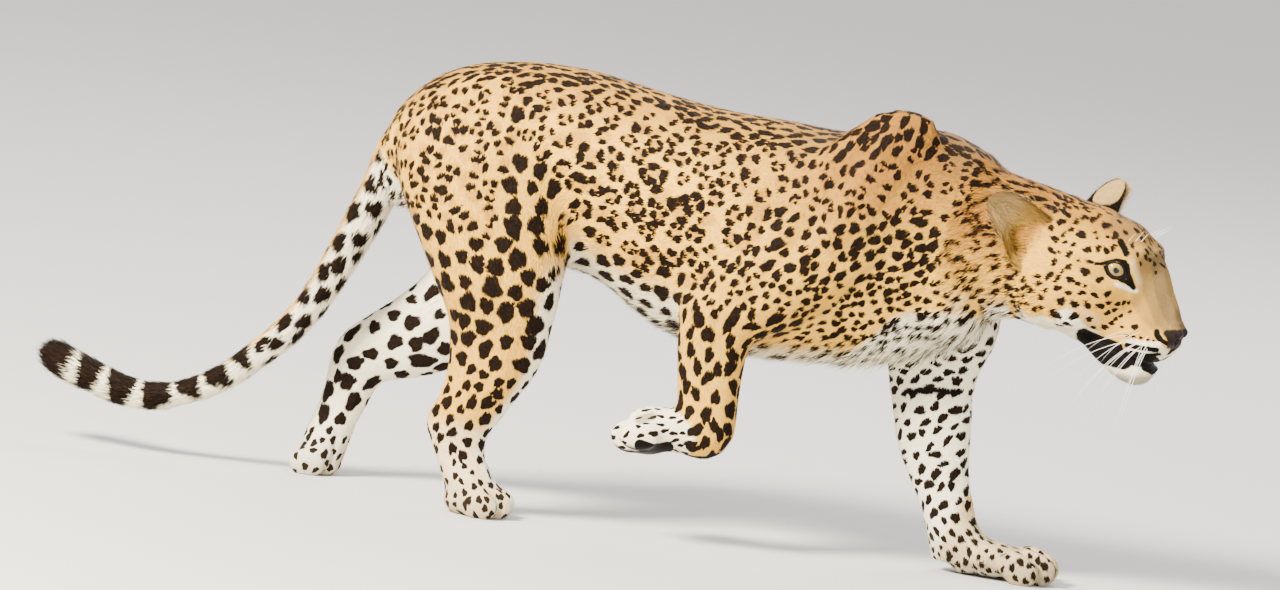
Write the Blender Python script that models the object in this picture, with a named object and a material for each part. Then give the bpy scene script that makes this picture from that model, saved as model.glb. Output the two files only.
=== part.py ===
"""A life-size leopard in mid stride, as a still museum model.

The animal walks along +X with its right side towards -Y, and stands on three paws with the
right forepaw lifted.  Its outer form is built from cross-sections: the trunk from upright slices,
the legs from level ones, the tail from slices square to its run, and the head in a frame of its
own that is then turned and bowed on the neck.  The forms are fused into one smooth body, which is
parted into the animal's named parts by thin cuts.  Sizes are in millimetres in the tables below
and in metres in the model.
"""
import math

import bmesh
import bpy
import numpy as np

MM = 0.001
GAP = 0.3

# Trunk, upright slices: place along X, back line, belly line, half width, sideways shift.
TRUNK = [
    (-388, 512, 474, 22, 0),
    (-374, 545, 440, 48, 0),
    (-350, 574, 410, 72, 0),
    (-318, 600, 388, 88, 0),
    (-270, 621, 372, 100, 0),
    (-205, 633, 362, 106, 0),
    (-150, 636, 358, 107, 0),
    (-100, 634, 352, 107, 0),
    (-50, 627, 335, 108, 0),
    (0, 619, 306, 111, 0),
    (50, 612, 284, 115, 0),
    (110, 607, 272, 118, 0),
    (180, 606, 268, 118, 0),
    (250, 603, 272, 113, 0),
    (310, 608, 279, 106, 0),
    (355, 619, 288, 99, 0),
    (405, 624, 307, 90, 0),
    (450, 611, 332, 80, 0),
    (485, 592, 364, 68, 0),
    (505, 568, 395, 50, 0),
]
TRUNK_EGG = 0.16

# Neck, slices square to its run: x, y, z, half depth, half width.
NECK = [
    (395, 0, 462, 140, 84),
    (440, 1, 466, 138, 84),
    (480, 0, 474, 113, 77),
    (520, -2, 474, 102, 71),
    (560, -6, 470, 98, 68),
    (600, -12, 464, 96, 68),
    (635, -19, 460, 84, 62),
]

# Right shoulder blade and upper arm: x, y, z, half length, half thickness.
SHOULDER_RIGHT = [
    (366, -44, 649, 26, 12),
    (363, -50, 629, 48, 22),
    (346, -62, 588, 68, 32),
    (318, -72, 537, 84, 39),
    (286, -78, 485, 92, 44),
    (250, -82, 440, 90, 47),
    (206, -86, 400, 84, 47),
    (166, -88, 362, 74, 45),
    (140, -90, 325, 60, 41),
    (131, -90, 290, 50, 36),
]

# Left shoulder blade and upper arm, swung the other way.
SHOULDER_LEFT = [
    (296, 52, 606, 18, 10),
    (306, 58, 585, 50, 22),
    (334, 68, 540, 76, 34),
    (372, 76, 490, 90, 42),
    (408, 80, 440, 94, 45),
    (420, 80, 395, 88, 45),
    (421, 77, 350, 80, 43),
    (417, 72, 310, 74, 40),
]

# Right forearm, level slices down to the bent wrist: z, front, rear, half width, y.
FOREARM_RIGHT = [
    (345, 200, 78, 42, -90),
    (310, 190, 78, 38, -91),
    (275, 183, 80, 34, -92),
    (235, 180, 85, 31, -93),
    (200, 180, 90, 30, -94),
    (168, 180, 94, 31, -95),
    (146, 172, 98, 30, -95),
    (130, 158, 106, 22, -95),
]

# Lifted right forepaw, slices square to its run back from the wrist.
FOREPAW_RIGHT = [
    (158, -95, 152, 20, 16),
    (140, -95, 154, 32, 29),
    (112, -96, 160, 33, 32),
    (84, -97, 160, 33, 36),
    (58, -98, 155, 36, 41),
    (36, -98, 150, 32, 40),
]

# Left foreleg, planted and reaching forward: z, front, rear, half width, y.
FORELEG_LEFT = [
    (350, 503, 344, 44, 74),
    (318, 498, 344, 41, 71),
    (284, 484, 346, 38, 69),
    (250, 478, 353, 36, 68),
    (213, 481, 363, 34, 67),
    (170, 484, 375, 32, 66),
    (130, 488, 394, 31, 66),
    (98, 497, 413, 33, 66),
    (74, 505, 425, 35, 66),
    (52, 520, 434, 38, 66),
    (32, 535, 440, 38, 66),
    (14, 535, 446, 34, 66),
]

# Right hind leg, planted: z, front, rear, half width, y.
HINDLEG_RIGHT = [
    (590, -170, -290, 26, -50),
    (560, -136, -324, 44, -60),
    (510, -112, -352, 58, -68),
    (455, -102, -350, 64, -74),
    (405, -96, -325, 64, -80),
    (360, -92, -300, 60, -84),
    (315, -94, -275, 54, -87),
    (273, -99, -252, 46, -89),
    (235, -104, -245, 39, -90),
    (198, -118, -243, 34, -91),
    (163, -140, -249, 29, -91),
    (132, -158, -262, 27, -91),
    (112, -170, -262, 26, -91),
    (85, -171, -250, 25, -91),
    (58, -158, -236, 29, -91),
    (34, -140, -226, 34, -91),
    (14, -140, -220, 34, -91),
]

# Left thigh, its front hidden behind the right one: z, front, rear, half width, y.
THIGH_LEFT = [
    (588, -185, -295, 26, 50),
    (550, -150, -330, 46, 60),
    (500, -128, -352, 58, 68),
    (445, -116, -352, 62, 74),
    (395, -110, -345, 60, 78),
    (345, -120, -333, 53, 81),
    (318, -146, -314, 46, 82),
    (296, -176, -290, 32, 83),
]

# Left lower leg pushed back, heel high: x, y, z, half depth, half width.
SHANK_LEFT = [
    (-196, 78, 350, 66, 50),
    (-220, 81, 316, 78, 49),
    (-252, 84, 278, 78, 44),
    (-292, 86, 240, 70, 38),
    (-334, 87, 212, 62, 33),
    (-372, 87, 192, 53, 29),
    (-400, 87, 174, 47, 27),
    (-413, 87, 148, 41, 25),
    (-419, 87, 118, 36, 24),
    (-429, 87, 88, 33, 25),
    (-438, 87, 58, 33, 29),
    (-444, 87, 32, 33, 33),
    (-446, 87, 12, 30, 31),
]

# Tail, slices square to its run: x, y, z, half thickness.
TAIL = [
    (-322, 0, 556, 30),
    (-346, 0, 522, 34),
    (-369, 0, 476, 34),
    (-387, 2, 424, 31),
    (-405, 2, 379, 30),
    (-426, 4, 330, 28),
    (-448, 6, 282, 26),
    (-473, 7, 236, 25),
    (-503, 8, 196, 24),
    (-540, 10, 160, 23),
    (-584, 11, 122, 22),
    (-636, 12, 95, 21),
    (-682, 12, 84, 22),
    (-726, 12, 87, 24),
    (-768, 12, 98, 26),
    (-800, 12, 108, 27),
    (-828, 12, 121, 24),
    (-842, 12, 128, 15),
]

# Head, in its own frame: s forward from the neck joint, h up, w to its left.
HEAD_AT = (590, -9, 470)
HEAD_YAW = -10.0
HEAD_PITCH = 15.0

# Skull and upper jaw: s, crown line, lower line, half width.
SKULL = [
    (-58, 60, -74, 50),
    (-38, 76, -88, 62),
    (-8, 88, -94, 70),
    (30, 95, -94, 76),
    (58, 95, -90, 78),
    (80, 92, -86, 74),
    (97, 87, -80, 67),
    (112, 79, -76, 59),
    (128, 66, -74, 51),
    (148, 46, -74, 46),
    (168, 25, -75, 42),
    (186, 8, -75, 36),
    (200, -5, -72, 29),
    (210, -14, -62, 22),
    (216, -22, -50, 14),
]

SKULL_EGG = -0.14

# Lower jaw: s, upper line, lower line, half width.
JAW = [
    (20, -60, -103, 46),
    (60, -62, -103, 43),
    (95, -62, -104, 38),
    (125, -64, -112, 34),
    (150, -66, -118, 31),
    (172, -68, -117, 28),
    (186, -72, -109, 22),
    (194, -78, -98, 13),
]

# Swellings of the head on each side: s, h, w, and their half sizes.
HEAD_MASSES = [
    ("jaw muscle", 30, -36, 42, 72, 58, 37),
    ("brow", 102, 48, 33, 36, 13, 19),
    ("whisker pad", 180, -47, 22, 34, 29, 22),
    ("lip corner", 134, -55, 24, 60, 22, 19),
    ("nose wing", 204, -25, 11, 14, 13, 11),
    ("ear root", -8, 38, 35, 48, 40, 30),
]
NOSE_BRIDGE = [
    (130, 68, 26, 20),
    (152, 48, 22, 20),
    (174, 27, 19, 20),
    (194, 8, 18, 18),
    (210, -9, 17, 15),
]

# Eyes and their lids in the head's frame: the lids are a ball with an almond opening, given by
# its half length and half height where it leaves the ball, and by how much it widens outwards.
EYE = (102, 30, 39)
EYE_RADIUS = 17.0
EYE_LOOK = (0.62, 0.10, 0.78)
EYE_FACETS = 14
LID_RADIUS = 21.5
LID_OPENING = (14.5, 8.5)
LID_TILT = 14.0
LID_FLARE = 1.25
LID_NEAR = 6.0
LID_FAR = 40.0
LID_CORNERS = 20

# Nostrils: s, h, w and half sizes.
NOSTRIL = (211, -31, 11, 12, 5.5, 4.0)
NOSTRIL_FACETS = 10

# Mouth: the corner, and the wedge between the lips that widens to the front.
MOUTH_CORNER = 92.0
MOUTH_LINE = -76.0
MOUTH_OPEN = 3.6

# Ears: root, tip and the way the cup faces, in the head's frame, and their size.
EAR_LEFT = {"root": (4, 50, 50), "tip": (22, 124, 74), "face": (0.55, 0.0, 0.83)}
EAR_RIGHT = {"root": (-12, 30, -60), "tip": (-94, 60, -102), "face": (0.30, 0.12, -0.95)}
EAR_HALF_WIDTH = 31.0
EAR_CUP = 17.0
EAR_WALL = 6.0
EAR_BURIED = 0.30
EAR_ROWS = 11
EAR_COLUMNS = 9

# Toes: along the paw, sideways from its middle, half length, half width, half height.
FORE_TOES = [(40, 13, 33, 15, 26), (40, -13, 33, 15, 26), (24, 38, 31, 14, 23), (24, -38, 31, 14, 23)]
HIND_TOES = [(34, 12, 29, 13, 24), (34, -12, 29, 13, 24), (21, 33, 27, 12, 21), (21, -33, 27, 12, 21)]

# Soles and heels of the planted paws, as ovals: place and half sizes.
FEET = [
    ("forefoot", (530, 66, 18), (62, 44, 26)),
    ("hindfoot_right", (-178, -91, 18), (48, 38, 26)),
    ("hindfoot_left", (-450, 87, 16), (34, 36, 24)),
]

# Paws: the toes they have, where their middle is, and how far they are turned over.
PAWS = [
    ("toe_front_left", FORE_TOES, (553, 66, 0), 0.0),
    ("toe_hind_right", HIND_TOES, (-186, -91, 0), 0.0),
    ("toe_hind_left", HIND_TOES, (-478, 87, 0), 0.0),
    ("toe_front_right", FORE_TOES, (74, -98, 172), 188.0),
]
TOE_SINK = 5.0

# Forms are fused at one fineness, eased, and then given fewer faces.
VOXEL_BODY = 4.0
VOXEL_HEAD = 2.6
FILL_BODY = 70
FILL_HEAD = 36
EASE_BODY = 24
EASE_HEAD = 8
BODY_KEEP = 0.026
HEAD_KEEP = 0.030
LOWEST = -400.0
BALL_FACETS = 24

# Cuts across the body, from a place towards a direction in the X-Z plane.  Each row: name, place
# (x, z), direction (x, z), length, half spread, lowest and highest y.
CUTS = [
    ("tail_4", (-700, 84), (-1.0, 0.0), 220, 90, -60, 60),
    ("tail_3", (-566, 136), (-0.80, -0.60), 220, 60, -60, 60),
    ("tail_2", (-462, 256), (-0.48, -0.88), 200, 60, -60, 60),
    ("tail_1", (-392, 416), (-0.31, -0.95), 220, 42, -60, 48),
    ("paw_hind_left", (-407, 160), (-0.30, -0.95), 260, 90, 30, 170),
    ("shank_left", (-238, 292), (-0.82, -0.57), 300, 112, 14, 170),
    ("paw_hind_right", (-205, 122), (0.0, -1.0), 200, 110, -170, -30),
    ("shank_right", (-180, 300), (0.0, -1.0), 250, 110, -170, -20),
    ("paw_front_right", (97, 150), (-1.0, 0.0), 160, 62, -170, -40),
    ("forearm_right", (130, 300), (0.0, -1.0), 250, 90, -170, -44),
    ("paw_front_left", (540, 90), (0.0, -1.0), 140, 170, 10, 170),
    ("forearm_left", (425, 300), (0.0, -1.0), 260, 110, 24, 170),
    ("thigh_right", (-225, 411), (-0.21, -0.98), 260, 144, -170, -0.15),
    ("thigh_left", (-225, 411), (-0.21, -0.98), 260, 144, 0.15, 170),
    ("neck", (478, 500), (0.98, 0.20), 260, 240, -150, 150),
    ("hips", (-150, 500), (-1.0, 0.0), 330, 220, -170, 170),
    ("belly", (112, 440), (-1.0, 0.0), 300, 260, -170, 170),
]
NECK_END = -24.0

COLOURS = {
    "coat": (0.62, 0.42, 0.22, 0.75),
    "eye": (0.45, 0.48, 0.20, 0.08),
}


def clear_scene():
    """Empty the scene of every object."""
    for item in list(bpy.data.objects):
        bpy.data.objects.remove(item, do_unlink=True)


def finish_material(name):
    """One plain surface, from the table of colours."""
    red, green, blue, rough = COLOURS[name]
    made = bpy.data.materials.new(name)
    made.use_nodes = True
    shader = made.node_tree.nodes["Principled BSDF"]
    shader.inputs["Base Color"].default_value = (red, green, blue, 1.0)
    shader.inputs["Roughness"].default_value = rough
    return made


def catmull(rows, steps):
    """A smooth curve through every row, with the same number of steps between neighbours."""
    rows = np.array(rows, dtype=float)
    padded = np.vstack([2 * rows[0] - rows[1], rows, 2 * rows[-1] - rows[-2]])
    t = np.linspace(0.0, 1.0, steps, endpoint=False)[:, None]
    spans = []
    for i in range(len(rows) - 1):
        a, b, c, d = padded[i:i + 4]
        spans.append(0.5 * (2 * b + (c - a) * t + (2 * a - 5 * b + 4 * c - d) * t ** 2
                            + (3 * b - a - 3 * c + d) * t ** 3))
    spans.append(rows[-1:])
    return np.vstack(spans)


def upright(rows):
    """Upright slices as stations: x, y, z, half depth, half width."""
    return [(x, y, (top + low) / 2, (top - low) / 2, wide) for x, top, low, wide, y in rows]


def level(rows):
    """Level slices as stations: x, y, z, half depth, half width."""
    return [((front + rear) / 2, y, z, (front - rear) / 2, wide)
            for z, front, rear, wide, y in rows]


def loft(stations, lie, steps=4, sides=28, egg=0.0):
    """Rings of points round a run of oval slices.

    The slices lie upright, level, or square to the run.  A slice is narrower below its middle
    where egg is above nought.
    """
    rows = catmull(stations, steps)
    turn = np.linspace(0.0, 2 * math.pi, sides, endpoint=False)
    if lie == "upright":
        lean = np.zeros(len(rows))
    elif lie == "level":
        lean = np.full(len(rows), math.pi / 2)
    else:
        run = np.gradient(rows[:, [0, 2]], axis=0)
        lean = np.unwrap(np.arctan2(-run[:, 1], run[:, 0]))
    zero = np.zeros_like(lean)
    deep = np.stack([np.sin(lean), zero, np.cos(lean)], axis=1) * rows[:, 3:4]
    wide = np.stack([zero, zero + 1, zero], axis=1) * rows[:, 4:5]
    across = np.cos(turn) * (1 + egg * np.sin(turn))
    return (rows[:, None, 0:3] + deep[:, None, :] * np.sin(turn)[None, :, None]
            + wide[:, None, :] * across[None, :, None])


def ring_faces(count, sides):
    """Quads between neighbouring rings, and one face that closes each end."""
    faces = []
    for i in range(count - 1):
        for j in range(sides):
            k = (j + 1) % sides
            faces.append((i * sides + j, i * sides + k, (i + 1) * sides + k, (i + 1) * sides + j))
    faces.append(tuple(reversed(range(sides))))
    faces.append(tuple((count - 1) * sides + j for j in range(sides)))
    return faces


def mesh_object(name, points, faces, frame=None):
    """A mesh object in metres, moved by a frame where it has one, its faces turned outwards."""
    points = np.asarray(points, dtype=float)
    if frame is not None:
        points = points @ frame[0].T + frame[1]
    mesh = bpy.data.meshes.new(name)
    mesh.from_pydata([tuple(p) for p in points * MM], [], faces)
    shaped = bmesh.new()
    shaped.from_mesh(mesh)
    bmesh.ops.recalc_face_normals(shaped, faces=shaped.faces)
    shaped.to_mesh(mesh)
    shaped.free()
    made = bpy.data.objects.new(name, mesh)
    bpy.context.scene.collection.objects.link(made)
    return made


def loft_object(name, stations, lie, frame=None, egg=0.0):
    """The closed loft of a table of stations."""
    rings = loft(stations, lie, egg=egg)
    count, sides = rings.shape[:2]
    return mesh_object(name, rings.reshape(-1, 3), ring_faces(count, sides), frame)


def ellipsoid(name, centre, radii, frame=None, fine=BALL_FACETS):
    """A closed oval ball, moved by a frame where it has one."""
    shaped = bmesh.new()
    bmesh.ops.create_uvsphere(shaped, u_segments=fine, v_segments=fine * 2 // 3, radius=1.0)
    points = np.array([v.co for v in shaped.verts]) * np.array(radii) + np.array(centre)
    faces = [tuple(v.index for v in f.verts) for f in shaped.faces]
    shaped.free()
    return mesh_object(name, points, faces, frame)


def head_frame():
    """The head's axes s, w and h as columns, and the place of its joint."""
    yaw = math.radians(HEAD_YAW)
    pitch = math.radians(HEAD_PITCH)
    forward = (math.cos(yaw) * math.cos(pitch), math.sin(yaw) * math.cos(pitch), -math.sin(pitch))
    upward = (math.cos(yaw) * math.sin(pitch), math.sin(yaw) * math.sin(pitch), math.cos(pitch))
    sideways = np.cross(upward, forward)
    return np.array([forward, sideways, upward]).T, np.array(HEAD_AT, dtype=float)


def join(name, pieces):
    """Several objects as one mesh, not yet fused."""
    shaped = bmesh.new()
    for piece in pieces:
        shaped.from_mesh(piece.data)
    mesh = bpy.data.meshes.new(name)
    shaped.to_mesh(mesh)
    shaped.free()
    for piece in pieces:
        bpy.data.objects.remove(piece, do_unlink=True)
    made = bpy.data.objects.new(name, mesh)
    bpy.context.scene.collection.objects.link(made)
    return made


def bake(item):
    """Put an object's modifiers into its mesh."""
    graph = bpy.context.evaluated_depsgraph_get()
    mesh = bpy.data.meshes.new_from_object(item.evaluated_get(graph))
    item.modifiers.clear()
    item.data = mesh
    return item


def mean_step(points, edges, count):
    """For each point, the way to the mean of its neighbours."""
    total = np.zeros_like(points)
    for axis in range(3):
        total[:, axis] = (np.bincount(edges[:, 0], points[edges[:, 1], axis], len(points))
                          + np.bincount(edges[:, 1], points[edges[:, 0], axis], len(points)))
    return total / count[:, None] - points


def outward(points, quads):
    """Unit normals of the points, from the diagonals of the quads round them."""
    way = np.cross(points[quads[:, 2]] - points[quads[:, 0]], points[quads[:, 3]] - points[quads[:, 1]])
    total = np.zeros_like(points)
    for axis in range(3):
        for corner in range(4):
            total[:, axis] += np.bincount(quads[:, corner], way[:, axis], len(points))
    return total / np.maximum(np.linalg.norm(total, axis=1, keepdims=True), 1e-12)


def soften(mesh, fill, ease):
    """Fill the creases between forms, then smooth the whole without shrinking it.

    Filling moves only points that lie in a hollow, outwards.  Smoothing takes one step towards
    the neighbours and one step back, which takes bumps away and leaves the size.
    """
    points = np.empty(len(mesh.vertices) * 3)
    mesh.vertices.foreach_get("co", points)
    points = points.reshape(-1, 3)
    edges = np.empty(len(mesh.edges) * 2, dtype=np.int64)
    mesh.edges.foreach_get("vertices", edges)
    edges = edges.reshape(-1, 2)
    quads = np.array([tuple(face.vertices) for face in mesh.polygons])
    count = np.bincount(edges.ravel(), minlength=len(points)).astype(float)
    for _ in range(fill):
        normal = outward(points, quads)
        rise = np.sum(mean_step(points, edges, count) * normal, axis=1, keepdims=True)
        points += 0.8 * normal * np.maximum(rise, 0.0)
    for _ in range(ease):
        points += 0.60 * mean_step(points, edges, count)
        points -= 0.62 * mean_step(points, edges, count)
    mesh.vertices.foreach_set("co", points.ravel())
    mesh.update()


def fuse(item, voxel, fill, ease):
    """Fuse overlapping forms into one skin and soften it."""
    remesh = item.modifiers.new("fuse", "REMESH")
    remesh.mode = "VOXEL"
    remesh.voxel_size = voxel * MM
    bake(item)
    soften(item.data, fill, ease)
    return item


def thin_out(item, keep):
    """Fewer faces, with more left where the form bends."""
    fewer = item.modifiers.new("fewer", "DECIMATE")
    fewer.ratio = keep
    fewer.use_collapse_triangulate = True
    return bake(item)


def cut(item, cutter, how):
    """Cut an object by another, which is then removed."""
    blade = item.modifiers.new("cut", "BOOLEAN")
    blade.operation = how
    blade.object = cutter
    blade.solver = "EXACT"
    bake(item)
    bpy.data.objects.remove(cutter, do_unlink=True)
    return item


def block(low, high, frame=None):
    """A plain box between two corners, moved by a frame where it has one."""
    corners = np.array([low, high], dtype=float)
    picks = [(i, j, k) for i in (0, 1) for j in (0, 1) for k in (0, 1)]
    points = [(corners[i, 0], corners[j, 1], corners[k, 2]) for i, j, k in picks]
    faces = [(0, 1, 3, 2), (4, 6, 7, 5), (0, 4, 5, 1), (2, 3, 7, 6), (0, 2, 6, 4), (1, 5, 7, 3)]
    return mesh_object("cutter", points, faces, frame)


def duplicate(item, name):
    """A copy with a mesh of its own."""
    made = bpy.data.objects.new(name, item.data.copy())
    bpy.context.scene.collection.objects.link(made)
    return made


def one_shell(item):
    """Keep only the largest closed surface of a mesh, in triangles."""
    shaped = bmesh.new()
    shaped.from_mesh(item.data)
    bmesh.ops.remove_doubles(shaped, verts=shaped.verts, dist=0.00001)
    left = set(shaped.verts)
    groups = []
    while left:
        front = [left.pop()]
        group = list(front)
        while front:
            vert = front.pop()
            for edge in vert.link_edges:
                other = edge.other_vert(vert)
                if other in left:
                    left.remove(other)
                    front.append(other)
                    group.append(other)
        groups.append(group)
    groups.sort(key=len, reverse=True)
    loose = [vert for group in groups[1:] for vert in group]
    bmesh.ops.delete(shaped, geom=loose, context="VERTS")
    bmesh.ops.triangulate(shaped, faces=shaped.faces)
    shaped.to_mesh(item.data)
    shaped.free()
    return item


def paw_toes(name, toes, place, turn):
    """The toes of one paw, each an oval ball, turned about the paw's cross axis."""
    c = math.cos(math.radians(turn))
    s = math.sin(math.radians(turn))
    frame = (np.array([(c, 0, -s), (0, 1, 0), (s, 0, c)]), np.array(place, dtype=float))
    made = []
    for i, (along, side, length, wide, high) in enumerate(toes):
        made.append(ellipsoid(f"{name}_{i}", (along, side, high - TOE_SINK), (length, wide, high), frame))
    return made


def body_forms():
    """Every form of the body behind the head, overlapping."""
    forms = [
        loft_object("trunk", upright(TRUNK), "upright", egg=TRUNK_EGG),
        loft_object("neck_form", NECK, "square"),
        loft_object("shoulder_right", SHOULDER_RIGHT, "square"),
        loft_object("shoulder_left", SHOULDER_LEFT, "square"),
        loft_object("forearm_form", level(FOREARM_RIGHT), "level"),
        loft_object("forepaw_form", FOREPAW_RIGHT, "square"),
        loft_object("foreleg_form", level(FORELEG_LEFT), "level"),
        loft_object("hindleg_form", level(HINDLEG_RIGHT), "level"),
        loft_object("thigh_form", level(THIGH_LEFT), "level"),
        loft_object("shank_form", SHANK_LEFT, "square"),
        loft_object("tail_form", [(x, y, z, r, r) for x, y, z, r in TAIL], "square"),
    ]
    forms += [ellipsoid(name, place, radii) for name, place, radii in FEET]
    for name, toes, place, turn in PAWS:
        forms += paw_toes(name, toes, place, turn)
    return forms


def eye_centre(side):
    """The middle of one eye in the head's frame."""
    s, h, w = EYE
    return np.array([s, w * side, h], dtype=float)


def head_forms(frame):
    """Every form of the head, overlapping, without the ears."""
    skull = [(s, 0, (top + low) / 2, (top - low) / 2, wide) for s, top, low, wide in SKULL]
    jaw = [(s, 0, (top + low) / 2, (top - low) / 2, wide) for s, top, low, wide in JAW]
    bridge = [(s, 0, h - deep, deep, wide) for s, h, wide, deep in NOSE_BRIDGE]
    forms = [
        loft_object("skull", skull, "upright", frame, egg=SKULL_EGG),
        loft_object("jaw", jaw, "upright", frame),
        loft_object("bridge", bridge, "upright", frame),
        loft_object("neck_top", NECK, "square"),
    ]
    for side in (1, -1):
        for name, s, h, w, long, tall, wide in HEAD_MASSES:
            forms.append(ellipsoid(name, (s, w * side, h), (long, wide, tall), frame))
        forms.append(ellipsoid("lids", eye_centre(side), (LID_RADIUS,) * 3, frame))
    return forms


def lid_opening(side, frame):
    """The tilted almond opening between the lids of one eye, as a solid that widens outwards."""
    look = np.array([EYE_LOOK[0], EYE_LOOK[2] * side, EYE_LOOK[1]])
    look = look / np.linalg.norm(look)
    across = np.cross(look, (0, 0, 1))
    across = across / np.linalg.norm(across)
    over = np.cross(across, look)
    tilt = -math.radians(LID_TILT) * side
    long_way = across * math.cos(tilt) + over * math.sin(tilt)
    tall_way = np.cross(long_way, look)
    centre = eye_centre(side)
    turn = np.linspace(0, 2 * math.pi, LID_CORNERS, endpoint=False)[:, None]
    tall = np.sin(turn) * np.abs(np.sin(turn)) ** 0.3
    outline = np.cos(turn) * LID_OPENING[0] * long_way + tall * LID_OPENING[1] * tall_way
    near = centre + outline + look * LID_NEAR
    far = centre + outline * LID_FLARE + look * LID_FAR
    return mesh_object("opening", np.vstack([near, far]), ring_faces(2, LID_CORNERS), frame)


def grown(item, by):
    """A copy of an object, a little larger all round."""
    made = duplicate(item, "grown")
    swell = made.modifiers.new("swell", "DISPLACE")
    swell.mid_level = 0.0
    swell.strength = by * MM
    return bake(made)


def build_ear(name, ear, frame):
    """One ear as a cupped shell: along from root to tip, across from edge to edge.

    The edge is round, the middle is set back by the cup, and the wall is thinnest at the rim.
    """
    root, tip, face = (np.array([p[0], p[2], p[1]], dtype=float)
                       for p in (ear["root"], ear["tip"], ear["face"]))
    long_way = tip - root
    face = face - long_way * (face @ long_way) / (long_way @ long_way)
    face = face / np.linalg.norm(face)
    side = np.cross(face, long_way / np.linalg.norm(long_way))
    along = np.linspace(-EAR_BURIED, 1.0, EAR_ROWS)[:, None]
    across = np.linspace(-1.0, 1.0, EAR_COLUMNS)[None, :]
    narrow = np.sqrt(np.clip(1 - np.clip((along - 0.35) / 0.65, 0, 1) ** 2.3, 0.02, 1))
    narrow = narrow * np.clip(1.0 + 0.25 * np.clip(-along, 0, 1), 1.0, 1.1)
    cup = EAR_CUP * (1 - across ** 2) * (0.35 + 0.65 * np.clip(1 - along, 0, 1) ** 0.6)
    wall = EAR_WALL * (1 - 0.75 * across ** 4) * (1 - 0.6 * np.clip(along, 0, 1) ** 3)
    inner = (root + along[..., None] * long_way
             + (across * narrow * EAR_HALF_WIDTH)[..., None] * side - (cup * narrow)[..., None] * face)
    outer = inner - (wall + 0 * across)[..., None] * face
    rings = []
    for i in range(EAR_ROWS):
        rings.append(np.vstack([inner[i], outer[i][::-1]]))
    return mesh_object(name, np.vstack(rings), ring_faces(EAR_ROWS, 2 * EAR_COLUMNS), frame)


def add_node(nodes, name, item):
    """Name a finished piece as a node."""
    item.name = name
    item.data.name = name
    nodes[name] = one_shell(item)


def cutting_block(place, way, length, spread, low_y, high_y, grow):
    """The block that lies beyond a place towards a direction in the X-Z plane, grown all round."""
    way = np.array([way[0], 0.0, way[1]])
    way = way / np.linalg.norm(way)
    up = np.cross(way, (0, 1, 0))
    frame = (np.array([way, (0, 1, 0), up]).T, np.array([place[0], 0.0, place[1]]))
    low = (-grow, low_y - grow, -spread - grow)
    high = (length + grow, high_y + grow, spread + grow)
    return block(low, high, frame)


def build_head(nodes):
    """The head with lids, nostrils and mouth, its lower jaw, eyes and ears."""
    frame = head_frame()
    head = join("head", head_forms(frame))
    fuse(head, VOXEL_HEAD, FILL_HEAD, EASE_HEAD)
    thin_out(head, HEAD_KEEP)
    cut(head, block((NECK_END, -150, -200), (300, 150, 200), frame), "INTERSECT")
    for name, ear in (("ear_left", EAR_LEFT), ("ear_right", EAR_RIGHT)):
        shell = build_ear(name, ear, frame)
        cut(shell, grown(head, GAP), "DIFFERENCE")
        cut(shell, grown(nodes["neck"], GAP), "DIFFERENCE")
        add_node(nodes, name, shell)
    for side, name in ((1, "eye_left"), (-1, "eye_right")):
        place = eye_centre(side)
        cut(head, lid_opening(side, frame), "DIFFERENCE")
        cut(head, ellipsoid("socket", place, (EYE_RADIUS + GAP,) * 3, frame, EYE_FACETS), "DIFFERENCE")
        add_node(nodes, name, ellipsoid(name, place, (EYE_RADIUS,) * 3, frame, EYE_FACETS))
        s, h, w, long, tall, wide = NOSTRIL
        hole = ellipsoid("nostril", (s, w * side, h), (long, wide, tall), frame, NOSTRIL_FACETS)
        cut(head, hole, "DIFFERENCE")
    jaw = duplicate(head, "lower_jaw")
    open_way = math.radians(MOUTH_OPEN)
    tipped = np.array([(math.cos(open_way), 0, math.sin(open_way)), (0, 1, 0),
                       (-math.sin(open_way), 0, math.cos(open_way))])
    corner = np.array([MOUTH_CORNER, 0.0, MOUTH_LINE])
    lower_frame = (frame[0] @ tipped, frame[0] @ corner + frame[1])
    upper_frame = (frame[0], lower_frame[1])
    cut(jaw, block((GAP, -120, -120), (200, 120, -GAP), lower_frame), "INTERSECT")
    for mouth_frame in (upper_frame, lower_frame):
        cut(head, block((0, -120, -120), (200, 120, 0), mouth_frame), "DIFFERENCE")
    add_node(nodes, "lower_jaw", jaw)
    add_node(nodes, "head", head)


def build_body(nodes):
    """The body behind the head, parted into its nodes by thin cuts."""
    body = join("body", body_forms())
    fuse(body, VOXEL_BODY, FILL_BODY, EASE_BODY)
    thin_out(body, BODY_KEEP)
    cut(body, block((-1000, -300, LOWEST), (1000, 300, 0)), "DIFFERENCE")
    beyond = block((NECK_END - GAP, -200, -250), (300, 200, 250), head_frame())
    cut(body, beyond, "DIFFERENCE")
    for name, place, way, length, spread, low_y, high_y in CUTS:
        piece = duplicate(body, name)
        limits = (place, way, length, spread, low_y, high_y)
        cut(piece, cutting_block(*limits, grow=0.0), "INTERSECT")
        cut(body, cutting_block(*limits, grow=GAP), "DIFFERENCE")
        add_node(nodes, name, piece)
    add_node(nodes, "chest", body)


def centre(nodes):
    """Move the model so that the middle of its box stands over the origin."""
    points = np.array([v.co for item in nodes.values() for v in item.data.vertices])
    middle = (points.min(axis=0) + points.max(axis=0)) / 2
    shift = np.array([middle[0], middle[1], 0.0])
    for item in nodes.values():
        for vert in item.data.vertices:
            vert.co = np.array(vert.co) - shift


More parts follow.
